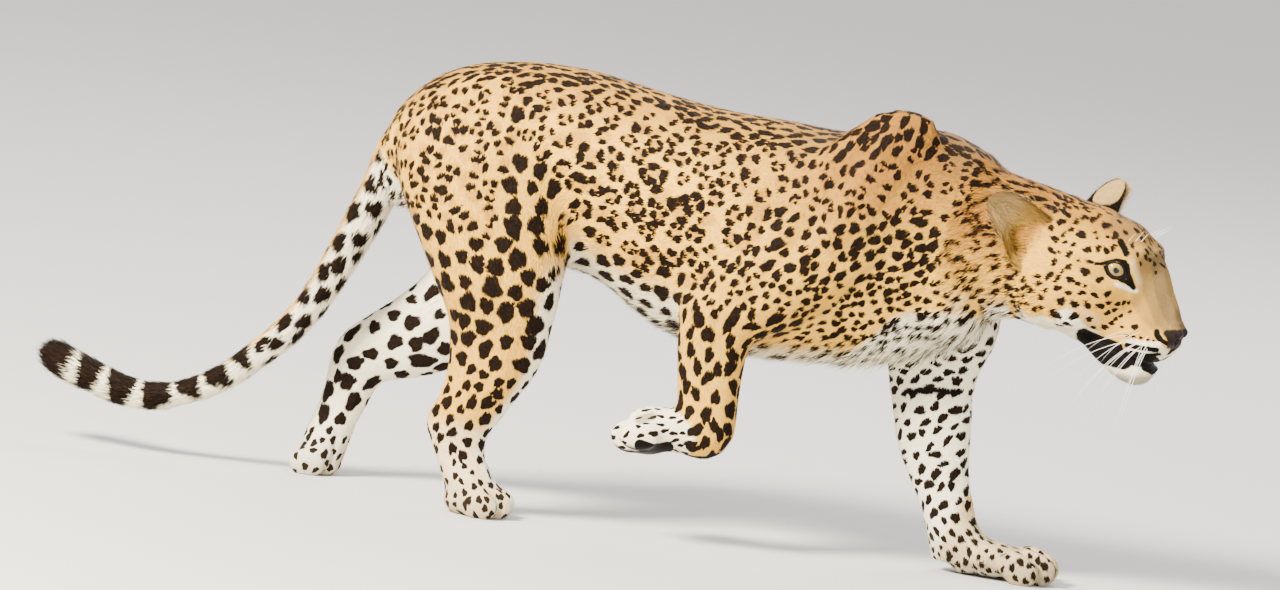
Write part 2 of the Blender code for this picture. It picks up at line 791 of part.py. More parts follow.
def main():
    """Build the leopard and part it into its named nodes."""
    clear_scene()
    nodes = {}
    build_body(nodes)
    build_head(nodes)
    centre(nodes)
    coat = finish_material("coat")
    glass = finish_material("eye")
    for name, item in nodes.items():
        item.data.materials.clear()
        item.data.materials.append(glass if name.startswith("eye") else coat)
        item.data.shade_smooth()


main()
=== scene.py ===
"""A life-size leopard in mid stride, as a museum would show it: skin, coat, eyes and whiskers.

The skin repeats the forms of the solid parts from the same tables, finer, and lies a coat's depth
inside them.  The coat is drawn from one list of marks, each with a place on the skin, a long and
a short half size, a lie, and a kind, so that skin and tufts carry the same rosettes.  Tables are
in millimetres, and the finished pieces are in metres.
"""
import math
from types import SimpleNamespace

import bmesh
import bpy
import numpy as np
from mathutils import Matrix, Vector, kdtree
from mathutils.bvhtree import BVHTree


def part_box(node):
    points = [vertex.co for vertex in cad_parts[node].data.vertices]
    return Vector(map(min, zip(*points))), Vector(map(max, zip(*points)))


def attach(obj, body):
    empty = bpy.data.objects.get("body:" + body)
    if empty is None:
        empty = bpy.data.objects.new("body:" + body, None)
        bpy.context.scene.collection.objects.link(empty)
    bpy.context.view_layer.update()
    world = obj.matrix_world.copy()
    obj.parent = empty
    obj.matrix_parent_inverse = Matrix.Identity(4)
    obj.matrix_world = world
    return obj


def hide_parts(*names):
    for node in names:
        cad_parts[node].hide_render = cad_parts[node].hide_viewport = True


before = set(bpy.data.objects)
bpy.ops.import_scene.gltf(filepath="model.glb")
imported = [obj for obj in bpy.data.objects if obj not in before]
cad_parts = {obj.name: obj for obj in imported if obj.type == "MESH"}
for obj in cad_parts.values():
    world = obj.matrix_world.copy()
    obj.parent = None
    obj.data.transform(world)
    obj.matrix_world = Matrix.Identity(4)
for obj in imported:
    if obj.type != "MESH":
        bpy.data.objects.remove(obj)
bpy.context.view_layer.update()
MM = 0.001
rng = np.random.default_rng(7)

# Trunk, upright slices: place along X, back line, belly line, half width, sideways shift.
TRUNK = [
    (-388, 512, 474, 22, 0), (-374, 545, 440, 48, 0), (-350, 574, 410, 72, 0), (-318, 600, 388, 88, 0),
    (-270, 621, 372, 100, 0), (-205, 633, 362, 106, 0), (-150, 636, 358, 107, 0),
    (-100, 634, 352, 107, 0), (-50, 627, 335, 108, 0), (0, 619, 306, 111, 0), (50, 612, 284, 115, 0),
    (110, 607, 272, 118, 0), (180, 606, 268, 118, 0), (250, 603, 272, 113, 0), (310, 608, 279, 106, 0),
    (355, 619, 288, 99, 0), (405, 624, 307, 90, 0), (450, 611, 332, 80, 0), (485, 592, 364, 68, 0),
    (505, 568, 395, 50, 0),
]
TRUNK_EGG = 0.16

# Neck, slices square to its run: x, y, z, half depth, half width.
NECK = [
    (395, 0, 462, 140, 84), (440, 1, 466, 138, 84), (480, 0, 474, 113, 77), (520, -2, 474, 102, 71),
    (560, -6, 470, 98, 68), (600, -12, 464, 96, 68), (635, -19, 460, 84, 62),
]

# Right shoulder blade and upper arm: x, y, z, half length, half thickness.
SHOULDER_RIGHT = [
    (366, -44, 649, 26, 12), (363, -50, 629, 48, 22), (346, -62, 588, 68, 32), (318, -72, 537, 84, 39),
    (286, -78, 485, 92, 44), (250, -82, 440, 90, 47), (206, -86, 400, 84, 47), (166, -88, 362, 74, 45),
    (140, -90, 325, 60, 41), (131, -90, 290, 50, 36),
]

# Left shoulder blade and upper arm, swung the other way.
SHOULDER_LEFT = [
    (296, 52, 606, 18, 10), (306, 58, 585, 50, 22), (334, 68, 540, 76, 34), (372, 76, 490, 90, 42),
    (408, 80, 440, 94, 45), (420, 80, 395, 88, 45), (421, 77, 350, 80, 43), (417, 72, 310, 74, 40),
]

# Right forearm, level slices down to the bent wrist: z, front, rear, half width, y.
FOREARM_RIGHT = [
    (345, 200, 78, 42, -90), (310, 190, 78, 38, -91), (275, 183, 80, 34, -92), (235, 180, 85, 31, -93),
    (200, 180, 90, 30, -94), (168, 180, 94, 31, -95), (146, 172, 98, 30, -95), (130, 158, 106, 22, -95),
]

# Lifted right forepaw, slices square to its run back from the wrist.
FOREPAW_RIGHT = [
    (158, -95, 152, 20, 16), (140, -95, 154, 32, 29), (112, -96, 160, 33, 32), (84, -97, 160, 33, 36),
    (58, -98, 155, 36, 41), (36, -98, 150, 32, 40),
]

# Left foreleg, planted and reaching forward: z, front, rear, half width, y.
FORELEG_LEFT = [
    (350, 503, 344, 44, 74), (318, 498, 344, 41, 71), (284, 484, 346, 38, 69), (250, 478, 353, 36, 68),
    (213, 481, 363, 34, 67), (170, 484, 375, 32, 66), (130, 488, 394, 31, 66), (98, 497, 413, 33, 66),
    (74, 505, 425, 35, 66), (52, 520, 434, 38, 66), (32, 535, 440, 38, 66), (14, 535, 446, 34, 66),
]

# Right hind leg, planted: z, front, rear, half width, y.
HINDLEG_RIGHT = [
    (590, -170, -290, 26, -50), (560, -136, -324, 44, -60), (510, -112, -352, 58, -68),
    (455, -102, -350, 64, -74), (405, -96, -325, 64, -80), (360, -92, -300, 60, -84),
    (315, -94, -275, 54, -87), (273, -99, -252, 46, -89), (235, -104, -245, 39, -90),
    (198, -118, -243, 34, -91), (163, -140, -249, 29, -91), (132, -158, -262, 27, -91),
    (112, -170, -262, 26, -91), (85, -171, -250, 25, -91), (58, -158, -236, 29, -91),
    (34, -140, -226, 34, -91), (14, -140, -220, 34, -91),
]

# Left thigh, its front hidden behind the right one: z, front, rear, half width, y.
THIGH_LEFT = [
    (588, -185, -295, 26, 50), (550, -150, -330, 46, 60), (500, -128, -352, 58, 68),
    (445, -116, -352, 62, 74), (395, -110, -345, 60, 78), (345, -120, -333, 53, 81),
    (318, -146, -314, 46, 82), (296, -176, -290, 32, 83),
]

# Left lower leg pushed back, heel high: x, y, z, half depth, half width.
SHANK_LEFT = [
    (-196, 78, 350, 66, 50), (-220, 81, 316, 78, 49), (-252, 84, 278, 78, 44), (-292, 86, 240, 70, 38),
    (-334, 87, 212, 62, 33), (-372, 87, 192, 53, 29), (-400, 87, 174, 47, 27), (-413, 87, 148, 41, 25),
    (-419, 87, 118, 36, 24), (-429, 87, 88, 33, 25), (-438, 87, 58, 33, 29), (-444, 87, 32, 33, 33),
    (-446, 87, 12, 30, 31),
]

# Tail, slices square to its run: x, y, z, half thickness.
TAIL = [
    (-322, 0, 556, 30), (-346, 0, 522, 34), (-369, 0, 476, 34), (-387, 2, 424, 31), (-405, 2, 379, 30),
    (-426, 4, 330, 28), (-448, 6, 282, 26), (-473, 7, 236, 25), (-503, 8, 196, 24), (-540, 10, 160, 23),
    (-584, 11, 122, 22), (-636, 12, 95, 21), (-682, 12, 84, 22), (-726, 12, 87, 24), (-768, 12, 98, 26),
    (-800, 12, 108, 27), (-828, 12, 121, 24), (-842, 12, 128, 15),
]

# Head, in its own frame: s forward from the neck joint, h up, w to its left.
HEAD_AT = (590, -9, 470)
HEAD_YAW = -10.0
HEAD_PITCH = 15.0

# Skull and upper jaw: s, crown line, lower line, half width.
SKULL = [
    (-58, 60, -74, 50), (-38, 76, -88, 62), (-8, 88, -94, 70), (30, 95, -94, 76), (58, 95, -90, 78),
    (80, 92, -86, 74), (97, 87, -80, 67), (112, 79, -76, 59), (128, 66, -74, 51), (148, 46, -74, 46),
    (168, 25, -75, 42), (186, 8, -75, 36), (200, -5, -72, 29), (210, -14, -62, 22), (216, -22, -50, 14),
]

SKULL_EGG = -0.14

# Lower jaw: s, upper line, lower line, half width.
JAW = [
    (20, -60, -103, 46), (60, -62, -103, 43), (95, -62, -104, 38), (125, -64, -112, 34),
    (150, -66, -118, 31), (172, -68, -117, 28), (186, -72, -109, 22), (194, -78, -98, 13),
]

# Swellings of the head on each side: s, h, w, and their half sizes.
HEAD_MASSES = [
    ("jaw muscle", 30, -36, 42, 72, 58, 37),
    ("whisker pad", 180, -47, 22, 34, 29, 22),
    ("lip corner", 134, -55, 24, 60, 22, 19),
    ("nose wing", 204, -25, 11, 14, 13, 11),
    ("ear root", -8, 38, 35, 48, 40, 30),
]

# Bridge of the nose: s, its upper line h, half width, half depth.
NOSE_BRIDGE = [
    (130, 68, 26, 20), (152, 48, 22, 20), (174, 27, 19, 20), (194, 8, 18, 18), (210, -9, 17, 15),
]

# Eyes: where the dressed eye and the solids' eye stand in the head's frame and the way the eye looks,
# all as s, h, w, and the ball of the lids with the tilt of their opening.
EYE = (95, 30, 39)
SOLID_EYE = (102, 30, -39)
EYE_RADIUS = 17.0
EYE_LOOK = (0.46, 0.10, 0.88)
LID_RADIUS = 21.5
LID_TILT = 14.0

# Mouth: the corner, and the wedge between the lips that widens to the front.
MOUTH_CORNER = 92.0
MOUTH_LINE = -76.0
MOUTH_OPEN = 3.6

# Ears: root, tip and the way the cup faces, all as s, h, w, and their size.
EAR_LEFT = {"root": (4, 50, 50), "tip": (22, 124, 74), "face": (0.55, 0.0, 0.83)}
EAR_RIGHT = {"root": (-12, 30, -60), "tip": (-94, 60, -102), "face": (0.30, 0.12, -0.95)}
EAR_HALF_WIDTH = 31.0
EAR_CUP = 17.0
EAR_WALL = 6.0
EAR_BURIED = 0.30

# Toes: along the paw, sideways from its middle, half length, half width, half height.
FORE_TOES = [(40, 13, 33, 15, 26), (40, -13, 33, 15, 26), (24, 38, 31, 14, 23), (24, -38, 31, 14, 23)]
HIND_TOES = [(34, 12, 29, 13, 24), (34, -12, 29, 13, 24), (21, 33, 27, 12, 21), (21, -33, 27, 12, 21)]

# Soles and heels of the planted paws, as ovals: place and half sizes.
FEET = [
    ("forefoot", (530, 66, 18), (62, 44, 26)),
    ("hindfoot_right", (-178, -91, 18), (48, 38, 26)),
    ("hindfoot_left", (-450, 87, 16), (34, 36, 24)),
]

# Paws: the toes they have, where their middle is, and how far they are turned over.
PAWS = [
    ("toe_front_left", FORE_TOES, (553, 66, 0), 0.0),
    ("toe_hind_right", HIND_TOES, (-186, -91, 0), 0.0),
    ("toe_hind_left", HIND_TOES, (-478, 87, 0), 0.0),
    ("toe_front_right", FORE_TOES, (74, -98, 172), 188.0),
]
TOE_SINK = 5.0

# The skin is fused at one fineness; the head and the paws are then divided and laid on a finer one.
# FILL rounds close the creases between the forms, and EASE rounds smooth the whole.
VOXEL_BODY = 8.1
VOXEL_FINE = 2.4
FILL_BODY = 22
FILL_FINE = 42
FILL_STEP = 0.8
EASE_BODY = 8
EASE_FINE = 9
EASE_SHARES = (0.60, 0.62)

# Steps between the slices of a form and sides of its rings; rings and sides of a ball, and the gap
# in radians that is left at its poles.
LOFT_STEPS = 5
LOFT_SIDES = 36
BALL_RINGS = 16
BALL_SIDES = 24
BALL_POLE = 0.06

# Which way the hairs lie along each form, against its rows or with them.
HAIR_WAY = {"trunk": -1, "neck": -1, "head": -1, "shoulder_right": 1, "shoulder_left": 1,
            "forearm_right": 1, "forepaw_right": 1, "foreleg_left": 1, "hindleg_right": 1,
            "thigh_left": 1, "shank_left": 1, "tail": 1}
PART_NAMES = list(HAIR_WAY)


def part_is(part, *names):
    """Which points belong to any of the named forms."""
    return np.isin(part, [PART_NAMES.index(name) for name in names])


def smooth(value, low, high):
    """Nought below the low value, one above the high one, and an even S between them."""
    t = np.clip((value - low) / (high - low), 0.0, 1.0)
    return t * t * (3 - 2 * t)


def bump_at(value, middle, spread):
    """A bell of height one round a middle value."""
    return np.exp(-((value - middle) / spread) ** 2)


def mound(*measures):
    """A bell of height one over several measures, each given with its middle and its spread."""
    return np.exp(-sum(((value - middle) / spread) ** 2 for value, middle, spread in measures))


def unit(ways):
    """The same directions, each with length one."""
    return ways / np.maximum(np.linalg.norm(ways, axis=-1, keepdims=True), 1e-9)


def dot(first, second):
    """The product of each direction with its partner."""
    return np.sum(first * second, axis=-1)


def laid_flat(ways, normals):
    """Directions pressed down on the skin, each with length one."""
    return unit(ways - normals * dot(ways, normals)[:, None])


def catmull(rows, steps):
    """A smooth curve through every row, with the same number of steps between neighbours."""
    rows = np.array(rows, dtype=float)
    padded = np.vstack([2 * rows[0] - rows[1], rows, 2 * rows[-1] - rows[-2]])
    t = np.linspace(0.0, 1.0, steps, endpoint=False)[:, None]
    spans = []
    for i in range(len(rows) - 1):
        a, b, c, d = padded[i:i + 4]
        spans.append(0.5 * (2 * b + (c - a) * t + (2 * a - 5 * b + 4 * c - d) * t ** 2
                            + (3 * b - a - 3 * c + d) * t ** 3))
    spans.append(rows[-1:])
    return np.vstack(spans)


def upright(rows):
    """Upright slices as stations: x, y, z, half depth, half width."""
    return [(x, y, (top + low) / 2, (top - low) / 2, wide) for x, top, low, wide, y in rows]


def level(rows):
    """Level slices as stations: x, y, z, half depth, half width."""
    return [((front + rear) / 2, y, z, (front - rear) / 2, wide) for z, front, rear, wide, y in rows]


def central(rows):
    """Upright slices on the middle of the head as stations."""
    return upright([(*row, 0) for row in rows])


def slices(stations, lie, steps):
    """The rows of a form, with the directions of each slice's depth and width."""
    rows = catmull(stations, steps)
    if lie == "upright":
        lean = np.zeros(len(rows))
    elif lie == "level":
        lean = np.full(len(rows), math.pi / 2)
    else:
        run = np.gradient(rows[:, [0, 2]], axis=0)
        lean = np.unwrap(np.arctan2(-run[:, 1], run[:, 0]))
    zero = np.zeros_like(lean)
    deep = np.stack([np.sin(lean), zero, np.cos(lean)], axis=1)
    wide = np.stack([zero, zero + 1, zero], axis=1)
    return rows, deep, wide


def grid_quads(rings, sides):
    """Quads between neighbouring rings that have the same number of points."""
    i, j = np.meshgrid(np.arange(rings - 1), np.arange(sides), indexing="ij")
    k = (j + 1) % sides
    corners = [i * sides + j, i * sides + k, (i + 1) * sides + k, (i + 1) * sides + j]
    return np.stack(corners, axis=-1).reshape(-1, 4)


def ring_faces(count, sides):
    """Quads between neighbouring rings, and one face that closes each end."""
    ends = [list(range(sides))[::-1], [(count - 1) * sides + j for j in range(sides)]]
    return grid_quads(count, sides).tolist() + ends


def head_axes():
    """The head's axes forward, leftward and upward as columns, and the place of its joint."""
    yaw = math.radians(HEAD_YAW)
    pitch = math.radians(HEAD_PITCH)
    forward = (math.cos(yaw) * math.cos(pitch), math.sin(yaw) * math.cos(pitch), -math.sin(pitch))
    upward = (math.cos(yaw) * math.sin(pitch), math.sin(yaw) * math.sin(pitch), math.cos(pitch))
    sideways = np.cross(upward, forward)
    return np.array([forward, sideways, upward]).T, np.array(HEAD_AT, dtype=float)


HEAD = head_axes()


def in_head(points):
    """Points in the head's own frame: forward, leftward, upward."""
    return (points - HEAD[1]) @ HEAD[0]


def from_head(points):
    """Points of the head's own frame, back in the frame of the body."""
    return np.asarray(points, dtype=float) @ HEAD[0].T + HEAD[1]


def reordered(row):
    """A place or a way given as s, h, w, in the order of the head's frame: s, w, h."""
    return np.array([row[0], row[2], row[1]], dtype=float)


def form_of(points, faces, in_head_frame=False):
    """One form as a mesh, from points of the body's frame or of the head's."""
    mesh = bpy.data.meshes.new("form")
    mesh.from_pydata((from_head(points) if in_head_frame else points).tolist(), [], faces)
    return mesh


def loft_form(stations, lie, in_head_frame=False, egg=0.0):
    """The closed loft of a run of oval slices, narrower below the middle where egg is positive."""
    rows, deep, wide = slices(stations, lie, LOFT_STEPS)
    turn = np.linspace(0.0, 2 * math.pi, LOFT_SIDES, endpoint=False)
    across = np.cos(turn) * (1 + egg * np.sin(turn))
    rings = (rows[:, None, 0:3] + (deep * rows[:, 3:4])[:, None, :] * np.sin(turn)[None, :, None]
             + (wide * rows[:, 4:5])[:, None, :] * across[None, :, None])
    return form_of(rings.reshape(-1, 3), ring_faces(len(rows), LOFT_SIDES), in_head_frame)


def ball_form(centre, radii, in_head_frame=False, axes=np.eye(3)):
    """An oval ball: rings from pole to pole, and one small face that closes each end."""
    polar = np.linspace(BALL_POLE, math.pi - BALL_POLE, BALL_RINGS)[:, None]
    turn = np.linspace(0, 2 * math.pi, BALL_SIDES, endpoint=False)[None, :]
    points = np.stack([np.sin(polar) * np.cos(turn), np.sin(polar) * np.sin(turn),
                       np.cos(polar) + 0 * turn], axis=-1).reshape(-1, 3) * np.array(radii)
    points = points @ axes.T + np.array(centre, dtype=float)
    return form_of(points, ring_faces(BALL_RINGS, BALL_SIDES), in_head_frame)


def toe_centres(toes, place, turn):
    """The middles of one paw's toes, turned with the paw about its cross axis, and that turn."""
    c = math.cos(math.radians(turn))
    s = math.sin(math.radians(turn))
    axes = np.array([(c, 0, -s), (0, 1, 0), (s, 0, c)])
    seats = np.array([(along, side, high - TOE_SINK) for along, side, _, _, high in toes])
    return seats @ axes.T + np.array(place, dtype=float), axes


def toe_forms(toes, place, turn):
    """The toes of one paw, each an oval ball."""
    seats, axes = toe_centres(toes, place, turn)
    return [ball_form(seat, toe[2:], axes=axes) for seat, toe in zip(seats, toes)]


PART_STATIONS = {
    "trunk": (upright(TRUNK), "upright"),
    "neck": (NECK, "square"),
    "head": (central(SKULL), "upright"),
    "shoulder_right": (SHOULDER_RIGHT, "square"),
    "shoulder_left": (SHOULDER_LEFT, "square"),
    "forearm_right": (level(FOREARM_RIGHT), "level"),
    "forepaw_right": (FOREPAW_RIGHT, "square"),
    "foreleg_left": (level(FORELEG_LEFT), "level"),
    "hindleg_right": (level(HINDLEG_RIGHT), "level"),
    "thigh_left": (level(THIGH_LEFT), "level"),
    "shank_left": (SHANK_LEFT, "square"),
    "tail": ([(x, y, z, r, r) for x, y, z, r in TAIL], "square"),
}
LIMBS = ("forearm_right", "forepaw_right", "foreleg_left", "hindleg_right", "shank_left")


def foot_forms():
    """The lower limbs, soles and toes."""
    forms = [loft_form(*PART_STATIONS[name]) for name in LIMBS]
    forms += [ball_form(place, radii) for _, place, radii in FEET]
    for _, toes, place, turn in PAWS:
        forms += toe_forms(toes, place, turn)
    return forms


def eye_centre(side):
    """The middle of one eye in the head's frame."""
    return reordered(EYE) * (1, side, 1)


def head_forms():
    """Every form of the head, overlapping, without the ears."""
    bridge = [(s, 0, h - deep, deep, wide) for s, h, wide, deep in NOSE_BRIDGE]
    forms = [
        loft_form(*PART_STATIONS["head"], True, egg=SKULL_EGG),
        loft_form(central(JAW), "upright", True),
        loft_form(bridge, "upright", True),
        loft_form(NECK, "square"),
    ]
    for side in (1, -1):
        for _, s, h, w, long, tall, wide in HEAD_MASSES:
            forms.append(ball_form((s, w * side, h), (long, wide, tall), True))
        forms.append(ball_form(eye_centre(side), (LID_RADIUS,) * 3, True))
    return forms


def body_forms():
    """Every form of the body behind the head."""
    forms = [loft_form(*PART_STATIONS["trunk"], egg=TRUNK_EGG)]
    forms += [loft_form(*PART_STATIONS[name]) for name in
              ("shoulder_right", "shoulder_left", "thigh_left", "tail")]
    return forms + foot_forms()


def put(name, data):
    """A new object in the scene that carries the data."""
    item = bpy.data.objects.new(name, data)
    bpy.context.scene.collection.objects.link(item)
    return item


def numbers_of(items, name, width, kind):
    """One property of all the items of a mesh, as rows of numbers."""
    values = np.empty(len(items) * width, dtype=kind)
    items.foreach_get(name, values)
    return values.reshape(-1, width)


def fused(forms, voxel, fill, ease):
    """Overlapping forms fused into one closed skin of quads, as points and quads, and softened."""
    shaped = bmesh.new()
    for form in forms:
        shaped.from_mesh(form)
        bpy.data.meshes.remove(form)
    bmesh.ops.recalc_face_normals(shaped, faces=shaped.faces)
    mesh = bpy.data.meshes.new("fused")
    shaped.to_mesh(mesh)
    shaped.free()
    item = put("fused", mesh)
    remesh = item.modifiers.new("fuse", "REMESH")
    remesh.mode = "VOXEL"
    remesh.voxel_size = voxel
    made = bpy.data.meshes.new_from_object(item.evaluated_get(bpy.context.evaluated_depsgraph_get()))
    quads = numbers_of(made.loops, "vertex_index", 1, np.int64).reshape(-1, 4)
    edges = numbers_of(made.edges, "vertices", 2, np.int64)
    points = softened(numbers_of(made.vertices, "co", 3, float), quads, edges, fill, ease)
    bpy.data.objects.remove(item, do_unlink=True)
    bpy.data.meshes.remove(made)
    bpy.data.meshes.remove(mesh)
    return points, quads


def neighbour_mean(values, edges):
    """For each point, the mean of a value over the points that share an edge with it."""
    first, second = edges.T
    total = np.stack([np.bincount(first, values[second, axis], len(values))
                      + np.bincount(second, values[first, axis], len(values))
                      for axis in range(values.shape[1])], axis=1)
    return total / np.bincount(edges.ravel(), minlength=len(values))[:, None]


def outward(points, faces):
    """Unit normals of the points, from the faces round them."""
    corners = points[faces]
    if faces.shape[1] == 4:
        way = np.cross(corners[:, 2] - corners[:, 0], corners[:, 3] - corners[:, 1])
    else:
        way = np.cross(corners[:, 1] - corners[:, 0], corners[:, 2] - corners[:, 0])
    total = np.zeros_like(points)
    for axis in range(3):
        for corner in range(faces.shape[1]):
            total[:, axis] += np.bincount(faces[:, corner], way[:, axis], len(points))
    return unit(total)


def eased(points, edges, rounds, forth, back):
    """Points smoothed by a step towards their neighbours and one back, which keeps the size."""
    for _ in range(rounds):
        for share in (forth, -back):
            points = points + share * (neighbour_mean(points, edges) - points)
    return points


def softened(points, quads, edges, fill, ease):
    """The creases between forms filled by moving hollow points outwards, then the whole smoothed."""
    for _ in range(fill):
        normal = outward(points, quads)
        hollow = np.maximum(dot(neighbour_mean(points, edges) - points, normal), 0.0)
        points = points + FILL_STEP * normal * hollow[:, None]
    return eased(points, edges, ease, *EASE_SHARES)


def head_and_paws(centres):
    """Where the skin is divided once: the head and the paws, planted and lifted."""
    x, y, z = centres.T
    lifted = (x < 112) & (x > 0) & (y < -50) & (z > 112) & (z < 212)
    return (in_head(centres)[:, 0] > -30) | (z < 52) | lifted


def face_and_toes(centres):
    """Where it is divided again: the face and the toes."""
    s, w, h = in_head(centres).T
    zone = (s > 66) & (h < 90)
    for _, toes, place, turn in PAWS:
        for seat, toe in zip(toe_centres(toes, place, turn)[0], toes):
            zone |= np.linalg.norm(centres - seat, axis=1) < toe[2] + 1
    return zone


def fine_features(centres):
    """Where it is divided a third time: round the eyes, on the nose and along the lips."""
    place = in_head(centres)
    s = place[:, 0]
    above, gap = mouth_measure(place)
    lips = (np.abs(above) < gap + 4.5) & (s > 96)
    return (near_eyes(place, 1.5, 1.6, 0, 32) > 0) | lips | ((s > 190) & (nose_measure(place) < 1.15))


GROOVE_DEEP = 3.2
GROOVE_WIDE = 2.6


def toe_grooves(points, normals):
    """Furrows between neighbouring toes, from behind the toes over their fronts."""
    push = np.zeros(len(points))
    for _, toes, place, turn in PAWS:
        seats, axes = toe_centres(toes, place, turn)
        order = np.argsort(seats[:, 1])
        for a, b in zip(order[:-1], order[1:]):
            away = (points - (seats[a] + seats[b]) / 2) @ axes
            long = (toes[a][2] + toes[b][2]) / 2
            reach = smooth(away[:, 0], -0.7 * long, 0.1 * long) * (np.linalg.norm(away, axis=1) < 1.9 * long)
            push -= GROOVE_DEEP * bump_at(away[:, 1], 0, GROOVE_WIDE) * reach
    return push


def divided(points, quads, zones):
    """The skin with the faces of each zone split in four, in turn, and then all of it in triangles."""
    shaped = bmesh.new()
    mesh = form_of(points, quads.tolist())
    shaped.from_mesh(mesh)
    bpy.data.meshes.remove(mesh)
    for zone in zones:
        centres = np.array([face.calc_center_median() for face in shaped.faces])
        edges = {edge for face, hit in zip(shaped.faces, zone(centres)) if hit for edge in face.edges}
        bmesh.ops.subdivide_edges(shaped, edges=list(edges), cuts=1, use_grid_fill=True)
    bmesh.ops.triangulate(shaped, faces=shaped.faces)
    shaped.verts.index_update()
    points = np.array([vert.co for vert in shaped.verts])
    tris = np.array([[vert.index for vert in face.verts] for face in shaped.faces])
    shaped.free()
    return points, tris


def edges_of(tris):
    """Every edge of the triangles once."""
    pairs = np.sort(np.vstack([tris[:, [0, 1]], tris[:, [1, 2]], tris[:, [2, 0]]]), axis=1)
    return np.unique(pairs, axis=0)


def tree_of(points, faces):
    """A surface made ready for the search of nearest places and of where rays meet it."""
    return BVHTree.FromPolygons(points.tolist(), faces.tolist())


def laid_on(points, weight, target):
    """Points moved towards the nearest place of a finer surface, by a weight for each."""
    tree = tree_of(*target)
    moved = points.copy()
    for i in np.nonzero(weight > 0.01)[0]:
        place = tree.find_nearest(Vector(points[i]), 30.0)[0]
        if place is not None:
            moved[i] += weight[i] * (np.array(place) - points[i])
    return moved


def eye_axes(side):
    """The way one eye looks, and the long and the tall way of its opening, in the head's frame."""
    look = unit(reordered(EYE_LOOK) * (1, side, 1))
    across = unit(np.cross(look, (0, 0, 1)))
    over = np.cross(across, look)
    tilt = -math.radians(LID_TILT) * side
    long_way = across * math.cos(tilt) + over * math.sin(tilt)
    return look, long_way, np.cross(long_way, look)


LID_ARCH = (10.6, 9.8)
LID_HALF = 17.5
LID_PROUD = 19.0


def lid_measure(place, side):
    """How far a place of the head is from the middle of the opening between the lids.

    The opening is bounded by two arches, tall by one less the square of the way along, and the
    measure is one on them.  With it come the distance from the eye, how far in front of it the
    place is and how far above its middle.
    """
    look, long_way, tall_way = eye_axes(side)
    away = place - eye_centre(side)
    over = away @ tall_way
    measure = np.abs(over) / np.where(over > 0, *LID_ARCH) + ((away @ long_way) / LID_HALF) ** 2
    return measure, np.linalg.norm(away, axis=1), away @ look, over


def near_eyes(place, low, high, front, reach):
    """One at the opening between the lids of either eye, and nought where the measure is high."""
    cover = np.zeros(len(place))
    for side in (1, -1):
        measure, far, ahead, _ = lid_measure(place, side)
        cover = np.maximum(cover, (1 - smooth(measure, low, high)) * (ahead > front) * (far < reach))
    return cover


def mouth_measure(place):
    """How far above the line between the lips a place of the head is, and half the gap there."""
    slope = math.tan(math.radians(MOUTH_OPEN) / 2)
    run = place[:, 0] - MOUTH_CORNER
    return place[:, 2] - (MOUTH_LINE - run * slope), np.maximum(run, 0.0) * slope


SNOUT_PINCH = 0.36


